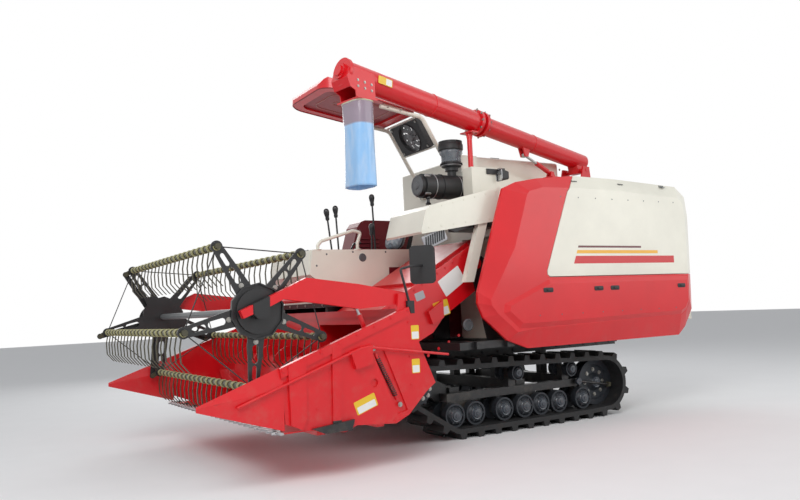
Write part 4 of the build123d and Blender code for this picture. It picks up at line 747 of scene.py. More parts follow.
def boom_point(s, up=0.0, out=0.0):
    """Point s along the unloading tube, up from its axis, out to the left."""
    return Vector((
        COLUMN[0] + s * math.cos(YAW) - out * math.sin(YAW),
        COLUMN[1] + s * math.sin(YAW) + out * math.cos(YAW),
        BOOM_AXIS_Z + s * math.tan(RISE) + up,
    ))


BOOM_WAY = Vector((math.cos(YAW) * math.cos(RISE), math.sin(YAW) * math.cos(RISE), math.sin(RISE)))


def bar_place(i, reach=1.0):
    """Side-view centre of one tine bar, or a share of the way out to it."""
    turn = math.radians(REEL_FIRST + 360 / BARS * i)
    out = REEL_R * reach
    return REEL[0] + out * math.sin(turn), REEL[1] + out * math.cos(turn)


def rim_z(x):
    return RIM_Z + (x + 130) * RIM_SLOPE


# ------------------------------------------------------------------ stage
class COMBINE_OT_studio(bpy.types.Operator):
    """Set up the camera, floor, lamps and background"""

    bl_idname = "combine.studio"
    bl_label = "Studio"

    # name, place, what it looks at, size, share of the key lamp's power
    LAMPS = (
        ("key", (5.0, 5.5, 6.0), (0.0, 0.0, 1.2), 4.0, 1.0),
        ("fill", (-5.5, 6.0, 4.0), (0.0, 0.0, 1.2), 5.0, 0.4),
        ("back", (-2.0, -7.0, 5.0), (0.0, 0.0, 1.4), 5.0, 0.5),
    )

    def camera(self, context, stage):
        data = bpy.data.cameras.new("camera")
        data.lens = stage.lens
        data.sensor_width = 36.0
        camera = linked("camera", data)
        turn = (
            Matrix.Rotation(stage.heading, 4, "Z")
            @ Matrix.Rotation(math.pi / 2 + stage.tilt, 4, "X")
            @ Matrix.Rotation(stage.roll, 4, "Z")
        )
        camera.matrix_world = Matrix.Translation(stage.eye) @ turn
        context.scene.camera = camera

    def floor(self, stage):
        made = bmesh.new()
        bmesh.ops.create_grid(made, x_segments=2, y_segments=2, size=40.0)
        mesh = bpy.data.meshes.new("floor")
        made.to_mesh(mesh)
        made.free()
        shader = Shader("floor")
        shader.set(Roughness=0.9, Specular_IOR_Level=0.1)
        grain = shader.noise(3.0, 3.0)
        shade = tuple(stage.backdrop)
        shader.shade(grain, 0.3, 0.7, shade, scaled(shade, 0.985))
        mesh.materials.append(shader.material)
        floor = linked("floor", mesh)

    def lamp(self, name, place, target, size, power):
        data = bpy.data.lights.new(name, "AREA")
        data.size = size
        data.energy = power
        lamp = linked(name, data)
        aim = (Vector(target) - Vector(place)).to_track_quat("-Z", "Y")
        lamp.matrix_world = Matrix.Translation(place) @ aim.to_matrix().to_4x4()

    def world(self):
        world = bpy.data.worlds.new("studio")
        bpy.context.scene.world = world
        world.use_nodes = True
        sky = Nodes(world.node_tree)
        shown = sky.node("ShaderNodeBackground", Color=(1.0, 1.0, 1.0, 1.0), Strength=1.0)
        lit = sky.tree.nodes["Background"]
        sky.feed(lit.inputs["Color"], (0.95, 0.97, 1.0, 1.0))
        sky.feed(lit.inputs["Strength"], 0.42)
        path = sky.node("ShaderNodeLightPath")
        seen = path.outputs["Is Camera Ray"]
        for ray in ("Is Glossy Ray", "Is Transmission Ray"):
            seen = sky.math("MAXIMUM", seen, path.outputs[ray])
        mix = sky.node("ShaderNodeMixShader")
        for socket, source in zip(mix.inputs, (seen, lit.outputs[0], shown.outputs[0])):
            sky.feed(socket, source)
        sky.feed(sky.tree.nodes["World Output"].inputs["Surface"], mix.outputs[0])

    def execute(self, context):
        stage = context.scene.combine_stage
        context.scene.view_settings.view_transform = "Standard"
        self.camera(context, stage)
        self.floor(stage)
        self.world()
        for name, place, target, size, share in self.LAMPS:
            self.lamp(name, place, target, size, stage.lamp_power * share)
        return {"FINISHED"}


# ------------------------------------------------------------------ finishes
class COMBINE_OT_finishes(bpy.types.Operator):
    """Make the paints, rubbers and metals"""

    bl_idname = "combine.finishes"
    bl_label = "Finishes"

    def execute(self, context):
        paint = context.scene.combine_paint
        red, cream, dust = tuple(paint.red), tuple(paint.cream), tuple(paint.dust)
        black, shaded_red = tuple(paint.black), tuple(paint.shaded_red)
        made = {
            "red": sprayed_paint("red_enamel", red, paint.gloss, dust),
            "cream": sprayed_paint("cream_enamel", cream, paint.gloss, dust),
            # engine cover's red darkened as painted shade
            "shaded_red": sprayed_paint("maroon_enamel", shaded_red, 0.35, dust),
            "black": sprayed_paint("black_enamel", black, 0.38, dust, 0.25),
            "grey": sprayed_paint("grey_enamel", (0.15, 0.155, 0.16), 0.4, dust, 0.2),
            "slate": sprayed_paint("slate_enamel", (0.045, 0.055, 0.07), 0.32, dust, 0.4),
            "tine": sprayed_paint("tine_coating", tuple(paint.tine), 0.4, dust, 0.2),
            "arm": sprayed_paint(
                "arm_enamel", red, paint.gloss, dust, masked=({"X": (2052, 2167)}, black)
            ),
            "side": sprayed_paint(
                "side_enamel", red, paint.gloss, dust,
                masked=({"X": (1500, 1820), "Y": (1272, 1310), "Z": (300, 384)}, black),
            ),
            "iron": cast_iron("roller_iron", tuple(paint.iron)),
            "rubber": belt_rubber("track_rubber", tuple(paint.rubber), dust),
            "mat": belt_rubber("mat_rubber", (0.02, 0.02, 0.021), dust),
            "steel": bright_steel("drawn_steel", (0.55, 0.55, 0.56)),
            "bolt": bright_steel("plated_bolts", (0.42, 0.41, 0.38), 0.35),
            "glass": bright_steel("mirror_glass", (0.75, 0.78, 0.8), 0.04),
            "plastic": moulded_plastic("black_moulding", (0.011, 0.011, 0.012)),
            "knob": moulded_plastic("glossy_knob", (0.012, 0.012, 0.014), 0.2),
            "trim": moulded_plastic("grey_moulding", (0.09, 0.095, 0.1), 0.4),
            "lens": lamp_glass("lamp_glass", (0.7, 0.72, 0.75)),
            "amber": lamp_glass("amber_glass", (0.75, 0.25, 0.02)),
            "ruby": lamp_glass("ruby_glass", (0.5, 0.01, 0.01)),
            "bowl": clear_film("bowl_plastic", (0.22, 0.25, 0.28), 0.6, 0.1),
            "film": clear_film(
                "sleeve_film", tuple(paint.film), 0.86, above=(2590.0, (0.44, 0.36, 0.44), 0.6)
            ),
            "hem": clear_film("sleeve_hem", (0.72, 0.74, 0.50), 0.95, 0.3),
            # canopy lining: red darkened as painted shade under the canopy
            "lining": sprayed_paint("lining_enamel", (0.34, 0.025, 0.032), 0.45, dust),
            # pressed line of the lining: lighter red as a painted highlight along it
            "bead": sprayed_paint("bead_enamel", (0.52, 0.20, 0.17), 0.45, dust),
            "coil": sprayed_paint("spring_coating", (0.34, 0.32, 0.15), 0.4, dust),
            "seat": seat_wrap("seat_wrap", (0.20, 0.235, 0.28)),
            "label_yellow": printed_label("yellow_label", (0.80, 0.52, 0.02)),
            "label_white": printed_label("white_label", (0.80, 0.80, 0.78)),
            "label_grey": printed_label("grey_label", (0.40, 0.41, 0.43)),
            "stripe_red": printed_label("red_stripe", (0.60, 0.012, 0.016)),
            "stripe_gold": printed_label("gold_stripe", (0.86, 0.44, 0.03)),
            "stripe_dark": printed_label("dark_stripe", (0.13, 0.02, 0.025)),
        }
        FINISHES.update(made)
        return {"FINISHED"}


NODE_FINISH = {
    "rubber": ("track_left", "track_right"),
    "iron": ("road_rollers", "drive_sprockets", "idler_wheels"),
    "black": (
        "track_frames", "chassis_frame", "belt_drives", "platform_floor", "seat_frame",
        "reel_spiders", "reel_control_ring", "engine_block", "drive_gearbox",
        "header_cylinder_bracket", "feeder_hinge_plates",
    ),
    "cream": (
        "thresher_body", "straw_hood", "side_cover_upper", "front_shroud", "grain_tank",
        "console", "handrail", "canopy_posts",
    ),
    "red": (
        "side_cover_lower", "canopy", "unloader_column", "unloader_turret", "unloader_boom",
        "unloader_rest", "feeder_house", "header_trough", "header_side_right",
        "header_auger", "header_cylinder_barrel", "reel_cylinder_barrels",
        "boom_cylinder_barrel",
    ),
    "side": ("header_side_left",),
    "arm": ("reel_arms",),
    # engine cover: red paint darkened as painted shade
    "shaded_red": ("engine_cover",),
    "steel": (
        "boom_cylinder_rod", "header_cylinder_rod", "reel_cylinder_rods", "cutter_bar",
    ),
    "grey": ("reel_shaft", "fan_rotor"),
    "plastic": (
        "screen_door", "control_levers", "fan_guard", "air_filter", "mirror", "work_lamp",
    ),
    "tine": tuple(f"reel_bar_{i}" for i in range(1, 6)),
    "film": ("spout_sleeve",),
    "seat": ("seat_cushion", "seat_back"),
}


class COMBINE_OT_frame_paint(bpy.types.Operator):
    """Paint the carried-over solids"""

    bl_idname = "combine.frame_paint"
    bl_label = "Paint the solids"

    def execute(self, context):
        for key, nodes in NODE_FINISH.items():
            for node in nodes:
                repaint(node, finish(key))
        return {"FINISHED"}


# ------------------------------------------------------------------ running gear
class COMBINE_OT_running_gear(bpy.types.Operator):
    """Hub caps, wheel bolts and belt tensioners of the tracks"""

    bl_idname = "combine.running_gear"
    bl_label = "Running gear"

    def execute(self, context):
        cap = lathe(((0, -4), (54, -4), (56, 2), (50, 10), (46, 7), (38, 7), (34, 15), (16, 18),
                     (15, 23), (0, 23)))
        small_cap = lathe(((0, -3), (36, -3), (36, 3), (31, 9), (14, 11), (12, 15), (0, 15)))
        caps, small, studs, rims = Places(), Places(), Places(), Places()
        for way, sign in ((LEFT, 1), (RIGHT, -1)):
            outer, hub, web, face = (
                MID_Y + sign * (HALF_GAUGE + out) for out in (132, 66, 34, 100)
            )
            caps.add(way, *((x, outer, ROLLER_Z) for x in ROLLER_XS), (IDLER[0], hub, IDLER[1]))
            small.add(way, *((x, outer, z) for x, z in CARRIERS))
            studs.add(way, *ring_spots((IDLER[0], web, IDLER[1]), way, 118, 8),
                      *ring_spots((SPROCKET[0], face, SPROCKET[1]), way, 71, 8))
            for x in ROLLER_XS:
                rims.add(way, *ring_spots((x, outer - sign * 5, ROLLER_Z), way, 66, 6))
        copies("roller_hub_caps", cap, caps.spots, caps.ways, "machine", "slate")
        copies("carrier_hub_caps", small_cap, small.spots, small.ways, "machine", "slate")
        bolts("wheel_web_bolts", studs.spots, studs.ways, "machine", head=13, rise=11)
        bolts("roller_rim_bolts", rims.spots, rims.ways, "machine", "iron", 7, 7)
        for side, sign in (("left", 1), ("right", -1)):
            y = MID_Y + sign * (HALF_GAUGE + 84)
            screw = tube(((-1290, y, 338), (-1700, y, 272)), 11)
            dress(f"tensioner_screw_{side}", screw, "black", "machine")
            nut = moved(prism(rounded_outline(46, 46, 8, 1), 30, 3),
                        seat_matrix((-1676, y, 276), (-0.987, 0, -0.159)))
            dress(f"tensioner_nut_{side}", nut, "tine", "machine", smooth=20)
            eye = moved(lathe(((0, -14), (30, -14), (34, -8), (34, 8), (30, 14), (0, 14))),
                        seat_matrix((-1300, y - sign * 4, 336), (0, sign, 0)))
            dress(f"tensioner_eye_{side}", eye, "slate", "machine")
            link = tube(((-1300, y, 336), (-1310, MID_Y + sign * (HALF_GAUGE + 10), 334)), 16)
            dress(f"tensioner_link_{side}", link, "black", "machine")
        return {"FINISHED"}


# ------------------------------------------------------------------ side covers
class COMBINE_OT_side_covers(bpy.types.Operator):
    """Latches, stripes, hinges and screws of the covers and the shroud"""

    bl_idname = "combine.side_covers"
    bl_label = "Side covers"

    STRIPES = (
        ("stripe_red", ((-905, 1420), (-2250, 1420), (-2250, 1488), (-935, 1488))),
        ("stripe_gold", ((-944, 1510), (-2020, 1510), (-2020, 1540), (-957, 1540))),
        ("stripe_dark", ((-966, 1562), (-1790, 1562), (-1790, 1580), (-974, 1580))),
    )

    def execute(self, context):
        for key, corners in self.STRIPES:
            place = seat_matrix((0, COVER_Y2 - 0.4, 0), LEFT, BACK)
            local = [place.inverted() @ Vector((x, COVER_Y2, z)) for x, z in corners]
            outline = [(v.x, v.y) for v in local]
            dress(f"cover_{key}", prism(outline, 1.2, 0.3), key, "machine", place, 20)
        latch = joined(
            plate(112, 40, 14, 5, 2),
            moved(plate(62, 20, 9, 9, 3, 4), Matrix.Translation((-12, 0, 0))),
        )
        spots = [(x, BULGE_Y - 1, z) for x, z in ((-560, 1196), (-1166, 1196), (-1373, 1196))]
        spots.append((-2300, BULGE_Y - 1, 1196))
        copies("cover_latches", latch, spots, LEFT, "machine", "plastic")
        edge = [(-2300 + 215 * i, COVER_Y2 - 1, 2010 if i < 8 else 1990) for i in range(8)]
        low = [(-2200 + 250 * i, BULGE_Y - 1, 985) for i in range(8)]
        bolts("cover_screws", edge + low, LEFT, "machine", "trim", 6, 3)
        leaves = (moved(plate(70, 34, 6, 4, 1.5), Matrix.Translation((0, y, 0)))
                  for y in (22, -22))
        hinge = joined(*leaves, tube(((-36, 0, 5), (36, 0, 5)), 6, 10))
        tops = [(x, 925.0, 2172) for x in (-2200, -1600, -1000)]
        copies("cover_hinges", hinge, tops, (0, 0.35, 0.94), "machine", "trim")
        # ribbed guard plate under the shroud's front edge
        way = Vector((225, 0, -92)).normalized()
        guard = seat_matrix((430, 776, 1652), LEFT, way)
        dress("drive_guard", plate(236, 112, 14, 12, 3), "label_grey", "machine",
              guard, 25)
        ribs = [guard @ Vector((-96 + 24 * i, 0, 14)) for i in range(9)]
        repeat("drive_guard_ribs", slat_tree, ribs, LEFT, "machine", "plastic",
               Size=(9.0, 84.0, 8.0))
        run = run_spots((-210, 811, 2060), (360, 811, 1920), 6)
        run += run_spots((-120, 811, 1822), (500, 811, 1735), 6)
        bolts("shroud_screws", run, LEFT, "machine", "cream", 6, 3)
        for name, x, z, ring in (("big", -120, 1880, 112), ("small", 180, 1800, 87)):
            belts = [(x, y, z) for y in (709, 716, 723)]
            repeat(f"{name}_pulley_belts", ring_tree, belts, LEFT, "machine", "rubber",
                   Ring=ring, Wire=4)
        hub = lathe(((0, 0), (40, 0), (40, 8), (30, 16), (14, 18), (0, 18)))
        copies("pulley_hubs", hub, [(-120, 731, 1880), (180, 731, 1800)], LEFT, "machine", "iron")
        return {"FINISHED"}


# ------------------------------------------------------------------ body and tank
class COMBINE_OT_body_trim(bpy.types.Operator):
    """Doors, louvres, ribs and lamps of the body, the tank and the hood"""

    bl_idname = "combine.body_trim"
    bl_label = "Body and tank"

    def execute(self, context):
        # pressed ribs on the tank's right side and back
        spots = [(-1720 + 172 * i, TANK_RIGHT_Y, 2060) for i in (0, 1, 2, 4, 5, 6)]
        rib = plate(54, 760, 26, 9, 5)
        copies("tank_side_ribs", rib, spots, RIGHT, "machine", "cream")
        spots = [(TANK_BACK_X, -1130 + 190 * i, 2060) for i in range(6)]
        copies("tank_back_ribs", plate(760, 54, 26, 9, 5), spots, BACK, "machine",
               "cream")
        lid = joined(
            plate(900, 760, 70, 22, 8),
            plate(820, 680, 60, 8, 4, 22),
        )
        dress("tank_lid", lid, "cream", "machine", seat_matrix((-1210, -660, 2567)), 25)
        handle = tube(((-70, 0, 26), (-70, 0, 62), (-56, 0, 74), (56, 0, 74), (70, 0, 62),
                       (70, 0, 26)), 8)
        dress("tank_lid_handle", handle, "plastic", "machine", seat_matrix((-1210, -380, 2567)))
        window = plate(210, 330, 40, 8, 3)
        spots = [(-1205, TANK_RIGHT_Y, 1985)]
        copies("tank_window_frame", window, spots, RIGHT, "machine", "plastic")
        copies("tank_window_glass", plate(160, 280, 26, 12, 2),
               spots, RIGHT, "machine", "bowl")
        # inspection doors of the threshing body, seen from the rear and the top
        door = joined(
            plate(520, 300, 30, 8, 4),
            moved(plate(60, 24, 10, 12, 3, 7), Matrix.Translation((200, 0, 0))),
        )
        copies("body_top_doors", door, [(-700, 480, 2059), (-1300, 480, 2059), (-1900, 480, 2059)],
               UP, "machine", "cream")
        louvre = prism([(-70, 0), (70, 0), (62, 9), (-62, 9)], 10, 3)
        spots = [(-2000 + 180 * k, 119, 1180 + 44 * i) for k in range(3) for i in range(6)]
        copies("body_louvres", louvre, spots, RIGHT, "machine", "cream")
        # hood: ribs, reflectors and lamps
        slope = Vector((-40, 0, -400)).normalized()
        normal = Vector((-400, 0, 40)).normalized()
        place = seat_matrix((-2620, 490, 1500), normal, slope)
        ribs = [place @ Vector((0, -240 + 120 * i, 0)) for i in range(5)]
        copies("hood_ribs", plate(300, 30, 14, 7, 4), ribs, normal, "machine",
               "cream")
        for name, maker, side, key in (
            ("housings", plate(70, 110, 18, 26, 6), 0, "plastic"),
            ("ruby", plate(54, 44, 10, 6, 3, 25), 26, "ruby"),
            ("amber", plate(54, 40, 10, 6, 3, 25), -24, "amber"),
        ):
            spots = [(HOOD_BACK_X, y + side, 1180) for y in (220, 760)]
            copies(f"rear_lamp_{name}", maker, spots, BACK, "machine", key)
        seam = run_spots((-2410, 861, 860), (-2410, 861, 1780), 8)
        seam += run_spots((-1830, -61, 2500), (-1830, -61, 1620), 6)
        bolts("body_edge_bolts", seam, LEFT, "machine", "bolt", 8, 5)
        rail = run_spots((-2210, 120.3, 650), (240, 120.3, 650), 14)
        bolts("chassis_bolts", rail, LEFT, "machine", "iron", 12, 8)
        return {"FINISHED"}


class COMBINE_OT_engine_bay(bpy.types.Operator):
    """Mesh and grip of the screen door, louvres and screws of the engine cover"""

    bl_idname = "combine.engine_bay"
    bl_label = "Engine bay"

    WIRE_PITCH = 12

    def execute(self, context):
        upright = [(-470 + self.WIRE_PITCH * i, -1270, 1150) for i in range(60)]
        level = [(-115, -1268, 910 + self.WIRE_PITCH * i) for i in range(41)]
        for name, wires, size in (("upright", upright, (2.0, 490.0, 2.0)),
                                  ("level", level, (720.0, 2.0, 2.0))):
            repeat(f"screen_mesh_{name}", slat_tree, wires, LEFT, "screen_door", "trim", Size=size)
        grip = joined(
            plate(40, 150, 16, 8, 3),
            plate(20, 90, 9, 16, 5, 7),
        )
        dress("screen_door_grip", grip, "trim", "screen_door",
              seat_matrix((286, -1271, 1140), RIGHT, FORWARD))
        # louvres in the engine cover's red, darkened as painted shade
        louvre = prism([(-120, 0), (120, 0), (110, 12), (-110, 12)], 14, 4)
        spots = [(x, -1239, 1560 + 44 * i) for x in (-300, 20) for i in range(8)]
        copies("cover_louvres", louvre, spots, RIGHT, "machine", "shaded_red")
        spots = [(x, -999, 1600 + 40 * i) for x in (-300, 20) for i in range(7)]
        copies("cover_louvres_inside", louvre, spots, LEFT, "machine", "shaded_red")
        screws = run_spots((-540, -1241, 1465), (310, -1241, 1465), 7)
        bolts("engine_cover_screws", screws, RIGHT, "machine", "bolt", 7, 4)
        return {"FINISHED"}


# ------------------------------------------------------------------ operator's place
class COMBINE_OT_controls(bpy.types.Operator):
    """Levers, console, gauges, floor mat, steps and handrail feet round the operator"""

    bl_idname = "combine.controls"
    bl_label = "Operator's place"

    LEVER_TOPS = ((830, -330, 1950), (758, -300, 1975), (420, -215, 2080), (470, -160, 1800))
    LEVER_FEET = ((780, -330, 1560), (735, -300, 1560), (400, -215, 1560), (480, -160, 1560))

    def execute(self, context):
        grip = lathe(((0, -26), (15, -24), (19, -8), (17, 8), (23, 30), (27, 52), (24, 72),
                      (14, 84), (0, 88)), 20)
        ways = [(Vector(top) - Vector(foot)).normalized()
                for top, foot in zip(self.LEVER_TOPS, self.LEVER_FEET)]
        copies("lever_knobs", grip, self.LEVER_TOPS, ways, "machine", "knob")
        boot = lathe(((0, 0), (46, 0), (44, 10), (34, 14), (38, 22), (28, 28), (31, 36), (21, 42),
                      (24, 50), (13, 58), (9, 70), (0, 70)), 20)
        copies("lever_boots", boot, self.LEVER_FEET, UP, "machine", "mat")
        bent = ((700, -150, 1560), (700, -150, 1640), (640, -200, 1700), (560, -215, 1712))
        dress("bent_lever", tube(bent, 9), "knob", "machine")
        # round port and panel screws in the console's left wall
        port = lathe(((0, 0), (37, 0), (37, 4), (30, 9), (27, 5), (8, 5), (0, 5)))
        dress("console_port", port, "trim", "machine", seat_matrix((603, -113, 1570), LEFT))
        corners = [(x, -112.5, z) for x, z in ((-50, 1620), (-50, 1510), (360, 1620), (700, 1620),
                                               (960, 1600), (1060, 1500), (960, 1250))]
        bolts("console_screws", corners, LEFT, "machine", "trim", 6, 3)
        face = seat_matrix((1108, -560, 1545), (0.99, 0, 0.13), LEFT)
        dress("console_front_panel", plate(620, 110, 30, 5, 2), "cream",
              "machine", face, 25)
        # gauge panel on the console's top
        panel = seat_matrix((1010, -560, 1632), (-0.13, 0, 0.99), FORWARD)
        dress("gauge_panel", plate(120, 520, 24, 8, 3), "plastic", "machine",
              panel, 25)
        dial = joined(
            lathe(((0, 0), (38, 0), (40, 6), (38, 12), (33, 12), (33, 6), (0, 6))),
            prism([(-1.5, -8), (1.5, -8), (1, 26), (-1, 26)], 2, 0.4, 6),
        )
        spots = [panel @ Vector((0, y, 7)) for y in (-190, -95)]
        copies("gauges", dial, spots, (-0.13, 0, 0.99), "machine", "trim")
        knob = lathe(((0, 0), (11, 0), (12, 8), (9, 16), (0, 17)), 16)
        spots = [panel @ Vector((x, y, 7)) for x in (-28, 22) for y in (20, 70, 120, 170, 215)]
        copies("panel_switches", knob, spots, (-0.13, 0, 0.99), "machine", "knob")
        # rubber mat with raised studs
        mat = plate(610, 880, 30, 6, 2)
        dress("floor_mat", mat, "mat", "machine", seat_matrix((590, -690, 1179.5)), 25)
        stud = lathe(((0, 0), (11, 0), (8, 5), (0, 5.5)), 8)
        grid = [(340 + 40 * i, -1070 + 40 * k, 1185) for i in range(13) for k in range(17)
                if not (-1000 < -1070 + 40 * k < -380 and 340 + 40 * i > 840)]
        copies("floor_mat_studs", stud, grid, UP, "machine", "mat")
        edge = run_spots((1001, -1190, 1160), (1001, -150, 1160), 7)
        bolts("platform_bolts", edge, FORWARD, "machine", "bolt", 9, 6)
        # two steps at the right of the platform
        rails = joined(*(tube(((x, -1246, 1140), (x, -1266, 1000), (x, -1266, 760)), 12)
                         for x in (420, 760)))
        dress("step_rails", rails, "black", "machine")
        tread = plate(340, 90, 10, 14, 3)
        copies("step_treads", tread, [(590, -1262, 770), (590, -1262, 960)], UP, "machine", "black")
        spots = [(440 + 25 * i, -1262, z + 16) for i in range(13) for z in (770, 960)]
        repeat("step_treads_ribs", slat_tree, spots, UP, "machine", "iron", Size=(5.0, 80.0, 6.0))
        feet = lathe(((0, 0), (32, 0), (32, 5), (20, 9), (0, 9)), 20)
        copies("handrail_feet", feet, [(1034, -131, 1640), (640, -131, 1642)], UP, "machine",
               "cream")
        return {"FINISHED"}


class COMBINE_OT_seat(bpy.types.Operator):
    """Seat pads, rounded by air pressure, with a piped edge"""

    bl_idname = "combine.seat"
    bl_label = "Seat"

    PADS = (
        ("seat_cushion", (190, -600, 1603), (0.0, 0.0, 1.0), (430, 430, 92), 90),
        ("seat_back", (-80, -600, 1862), (0.948, 0.0, 0.319), (372, 290, 84), 80),
    )

    AIR_FRAMES = 20

    def pad_shape(self, length, width, thick, corner):
        """Crowned pad whose edges roll in, as stacked rounded outlines."""
        def maker(made):
            levels = ((-0.5, 0.86), (-0.47, 0.93), (-0.3, 0.985), (0.0, 1.0), (0.26, 0.985),
                      (0.42, 0.94), (0.5, 0.84))
            rings = []
            for height, share in levels:
                ring = []
                for x, y in rounded_outline(length, width, corner, 6):
                    ring.append(made.verts.new((x * share, y * share, height * thick)))
                rings.append(ring)
            for low, high in zip(rings, rings[1:]):
                wrap(made, low, high)
            made.faces.new(list(reversed(rings[0])))
            made.faces.new(rings[-1])
        return maker

    def inflate(self, piece, soft):
        """Round the pad with air pressure and keep each point near where it was."""
        rest = [v.co.copy() for v in piece.data.vertices]
        cloth = piece.modifiers.new("air", "CLOTH")
        cloth.settings.use_pressure = True
        cloth.settings.uniform_pressure_force = soft.pad_pressure
        cloth.settings.effector_weights.gravity = 0.0
        cloth.point_cache.frame_start = 1
        cloth.point_cache.frame_end = self.AIR_FRAMES
        scene = bpy.context.scene
        for step in range(1, self.AIR_FRAMES + 1):
            scene.frame_set(step)
        shown = piece.evaluated_get(bpy.context.evaluated_depsgraph_get())
        swollen = [v.co.copy() for v in shown.data.vertices]
        piece.modifiers.remove(cloth)
        scene.frame_set(1)
        for vert, start, end in zip(piece.data.vertices, rest, swollen):
            step = end - start
            if step.length > soft.pad_swell:
                step = step.normalized() * soft.pad_swell
            vert.co = start + step

    def execute(self, context):
        soft = context.scene.combine_soft
        for node, centre, way, (length, width, thick), corner in self.PADS:
            along = FORWARD if way[2] > 0.9 else (-0.319, 0.0, 0.948)
            place = seat_matrix(centre, way, along)
            piece = dress(f"{node}_pad", self.pad_shape(length, width, thick, corner), "seat",
                          "machine", place, 0)
            remesh = piece.modifiers.new("skin", "REMESH")
            remesh.mode = "VOXEL"
            remesh.voxel_size = PAD_VOXEL
            shown = piece.evaluated_get(bpy.context.evaluated_depsgraph_get())
            skin = bpy.data.meshes.new_from_object(shown)
            piece.modifiers.remove(remesh)
            piece.data = skin
            self.inflate(piece, soft)
            self.channels(piece, place, length, width)
            piece.data.materials.clear()
            piece.data.materials.append(finish("seat"))
            piece.data.shade_smooth()
            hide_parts(node)
            outline = [place @ Vector((x, y, 0)) for x, y in
                       rounded_outline(length + 6, width + 6, corner, 8)]
            bead(f"{node}_piping", outline, 4.5, "plastic")
        return {"FINISHED"}

    def channels(self, piece, place, length, width):
        """Press sewn channels across the pad's top."""
        back = (Matrix.Scale(MM, 4) @ place).inverted()
        normal = (place.to_3x3() @ Vector((0, 0, 1))).normalized()
        for vert in piece.data.vertices:
            local = back @ vert.co
            if local.z < 0 or abs(local.x) > length * 0.42 or abs(local.y) > width * 0.42:
                continue
            for line in (-0.21, 0.0, 0.21):
                off = abs(local.x - line * length) / 9.0
                if off < 1.0:
                    vert.co -= normal * (0.006 * (1 - off) ** 2)


class COMBINE_OT_canopy_trim(bpy.types.Operator):
    """Lining with its pressed line, edge bead and bolts of the canopy"""

    bl_idname = "combine.canopy_trim"
    bl_label = "Canopy"

    def execute(self, context):
        middle_x = sum(CANOPY_X) / 2
        middle_y = sum(CANOPY_Y) / 2
        way = Vector((RIM_SLOPE, 0, -1)).normalized()
        place = seat_matrix((middle_x, middle_y, rim_z(middle_x) + 23), way, FORWARD)
        # lining in a darker red, painted shade on the canopy's underside
        dress("canopy_lining", prism(rounded_outline(826, 644, 100, 6), 6, 3), "lining",
              "machine", place, 25)
        # pressed lines in a lighter red, a painted highlight along their ridges
        line = [place @ Vector((x, y, 7)) for x, y in rounded_outline(640, 460, 90, 8)]
        bead("canopy_lining_bead", line, 5, "bead")
        line = [place @ Vector((x, y, 7)) for x, y in rounded_outline(420, 90, 40, 8)]
        bead("canopy_inner_bead", line, 4, "bead")
        # edge bead in the lining's darker red, painted shade along the rim's underside
        edge = [Vector((middle_x + x, middle_y + y, rim_z(middle_x + x) - 1)) for x, y in
                rounded_outline(1006, 824, 164, 8)]
        bead("canopy_edge_bead", edge, 6, "lining")
        spots = [Vector((x, y, rim_z(x) - 28)) for x in (90, 230) for y in (-212, -168, -828, -784)]
        bolts("canopy_bolts", spots, DOWN, "machine", "bolt", 8, 6)
        # fan: bolts, hub cap and frame corners
        normal = Vector((math.sin(FAN_TURN), 0, -math.cos(FAN_TURN)))
        fan = seat_matrix(FAN_MIDDLE, normal, LEFT)
        corners = [fan @ Vector((x, y, 30)) for x in (-215, 215) for y in (-134, 134)]
        bolts("fan_frame_bolts", corners, normal, "machine", "bolt", 9, 6)
        cap = lathe(((0, 0), (42, 0), (40, 8), (26, 14), (10, 16), (0, 16)))
        dress("fan_cap", cap, "grey", "fan", fan @ Matrix.Translation((0, 0, 17)))
        repeat("fan_mouth_rings", ring_tree, [fan @ Vector((0, 0, 31))], normal, "machine",
               "plastic", Ring=153, Wire=6)
        motor = lathe(((0, 0), (52, 0), (52, 34), (40, 44), (14, 48), (0, 48)))
        rear = seat_matrix(fan @ Vector((0, 0, -29)), -normal, LEFT)
        dress("fan_motor", motor, "plastic", "machine", rear)
        feet = [(-539, y, 2252) for y in (-214, -166, -830, -782)]
        bolts("post_foot_bolts", feet, FORWARD, "machine", "bolt", 9, 6)
        return {"FINISHED"}


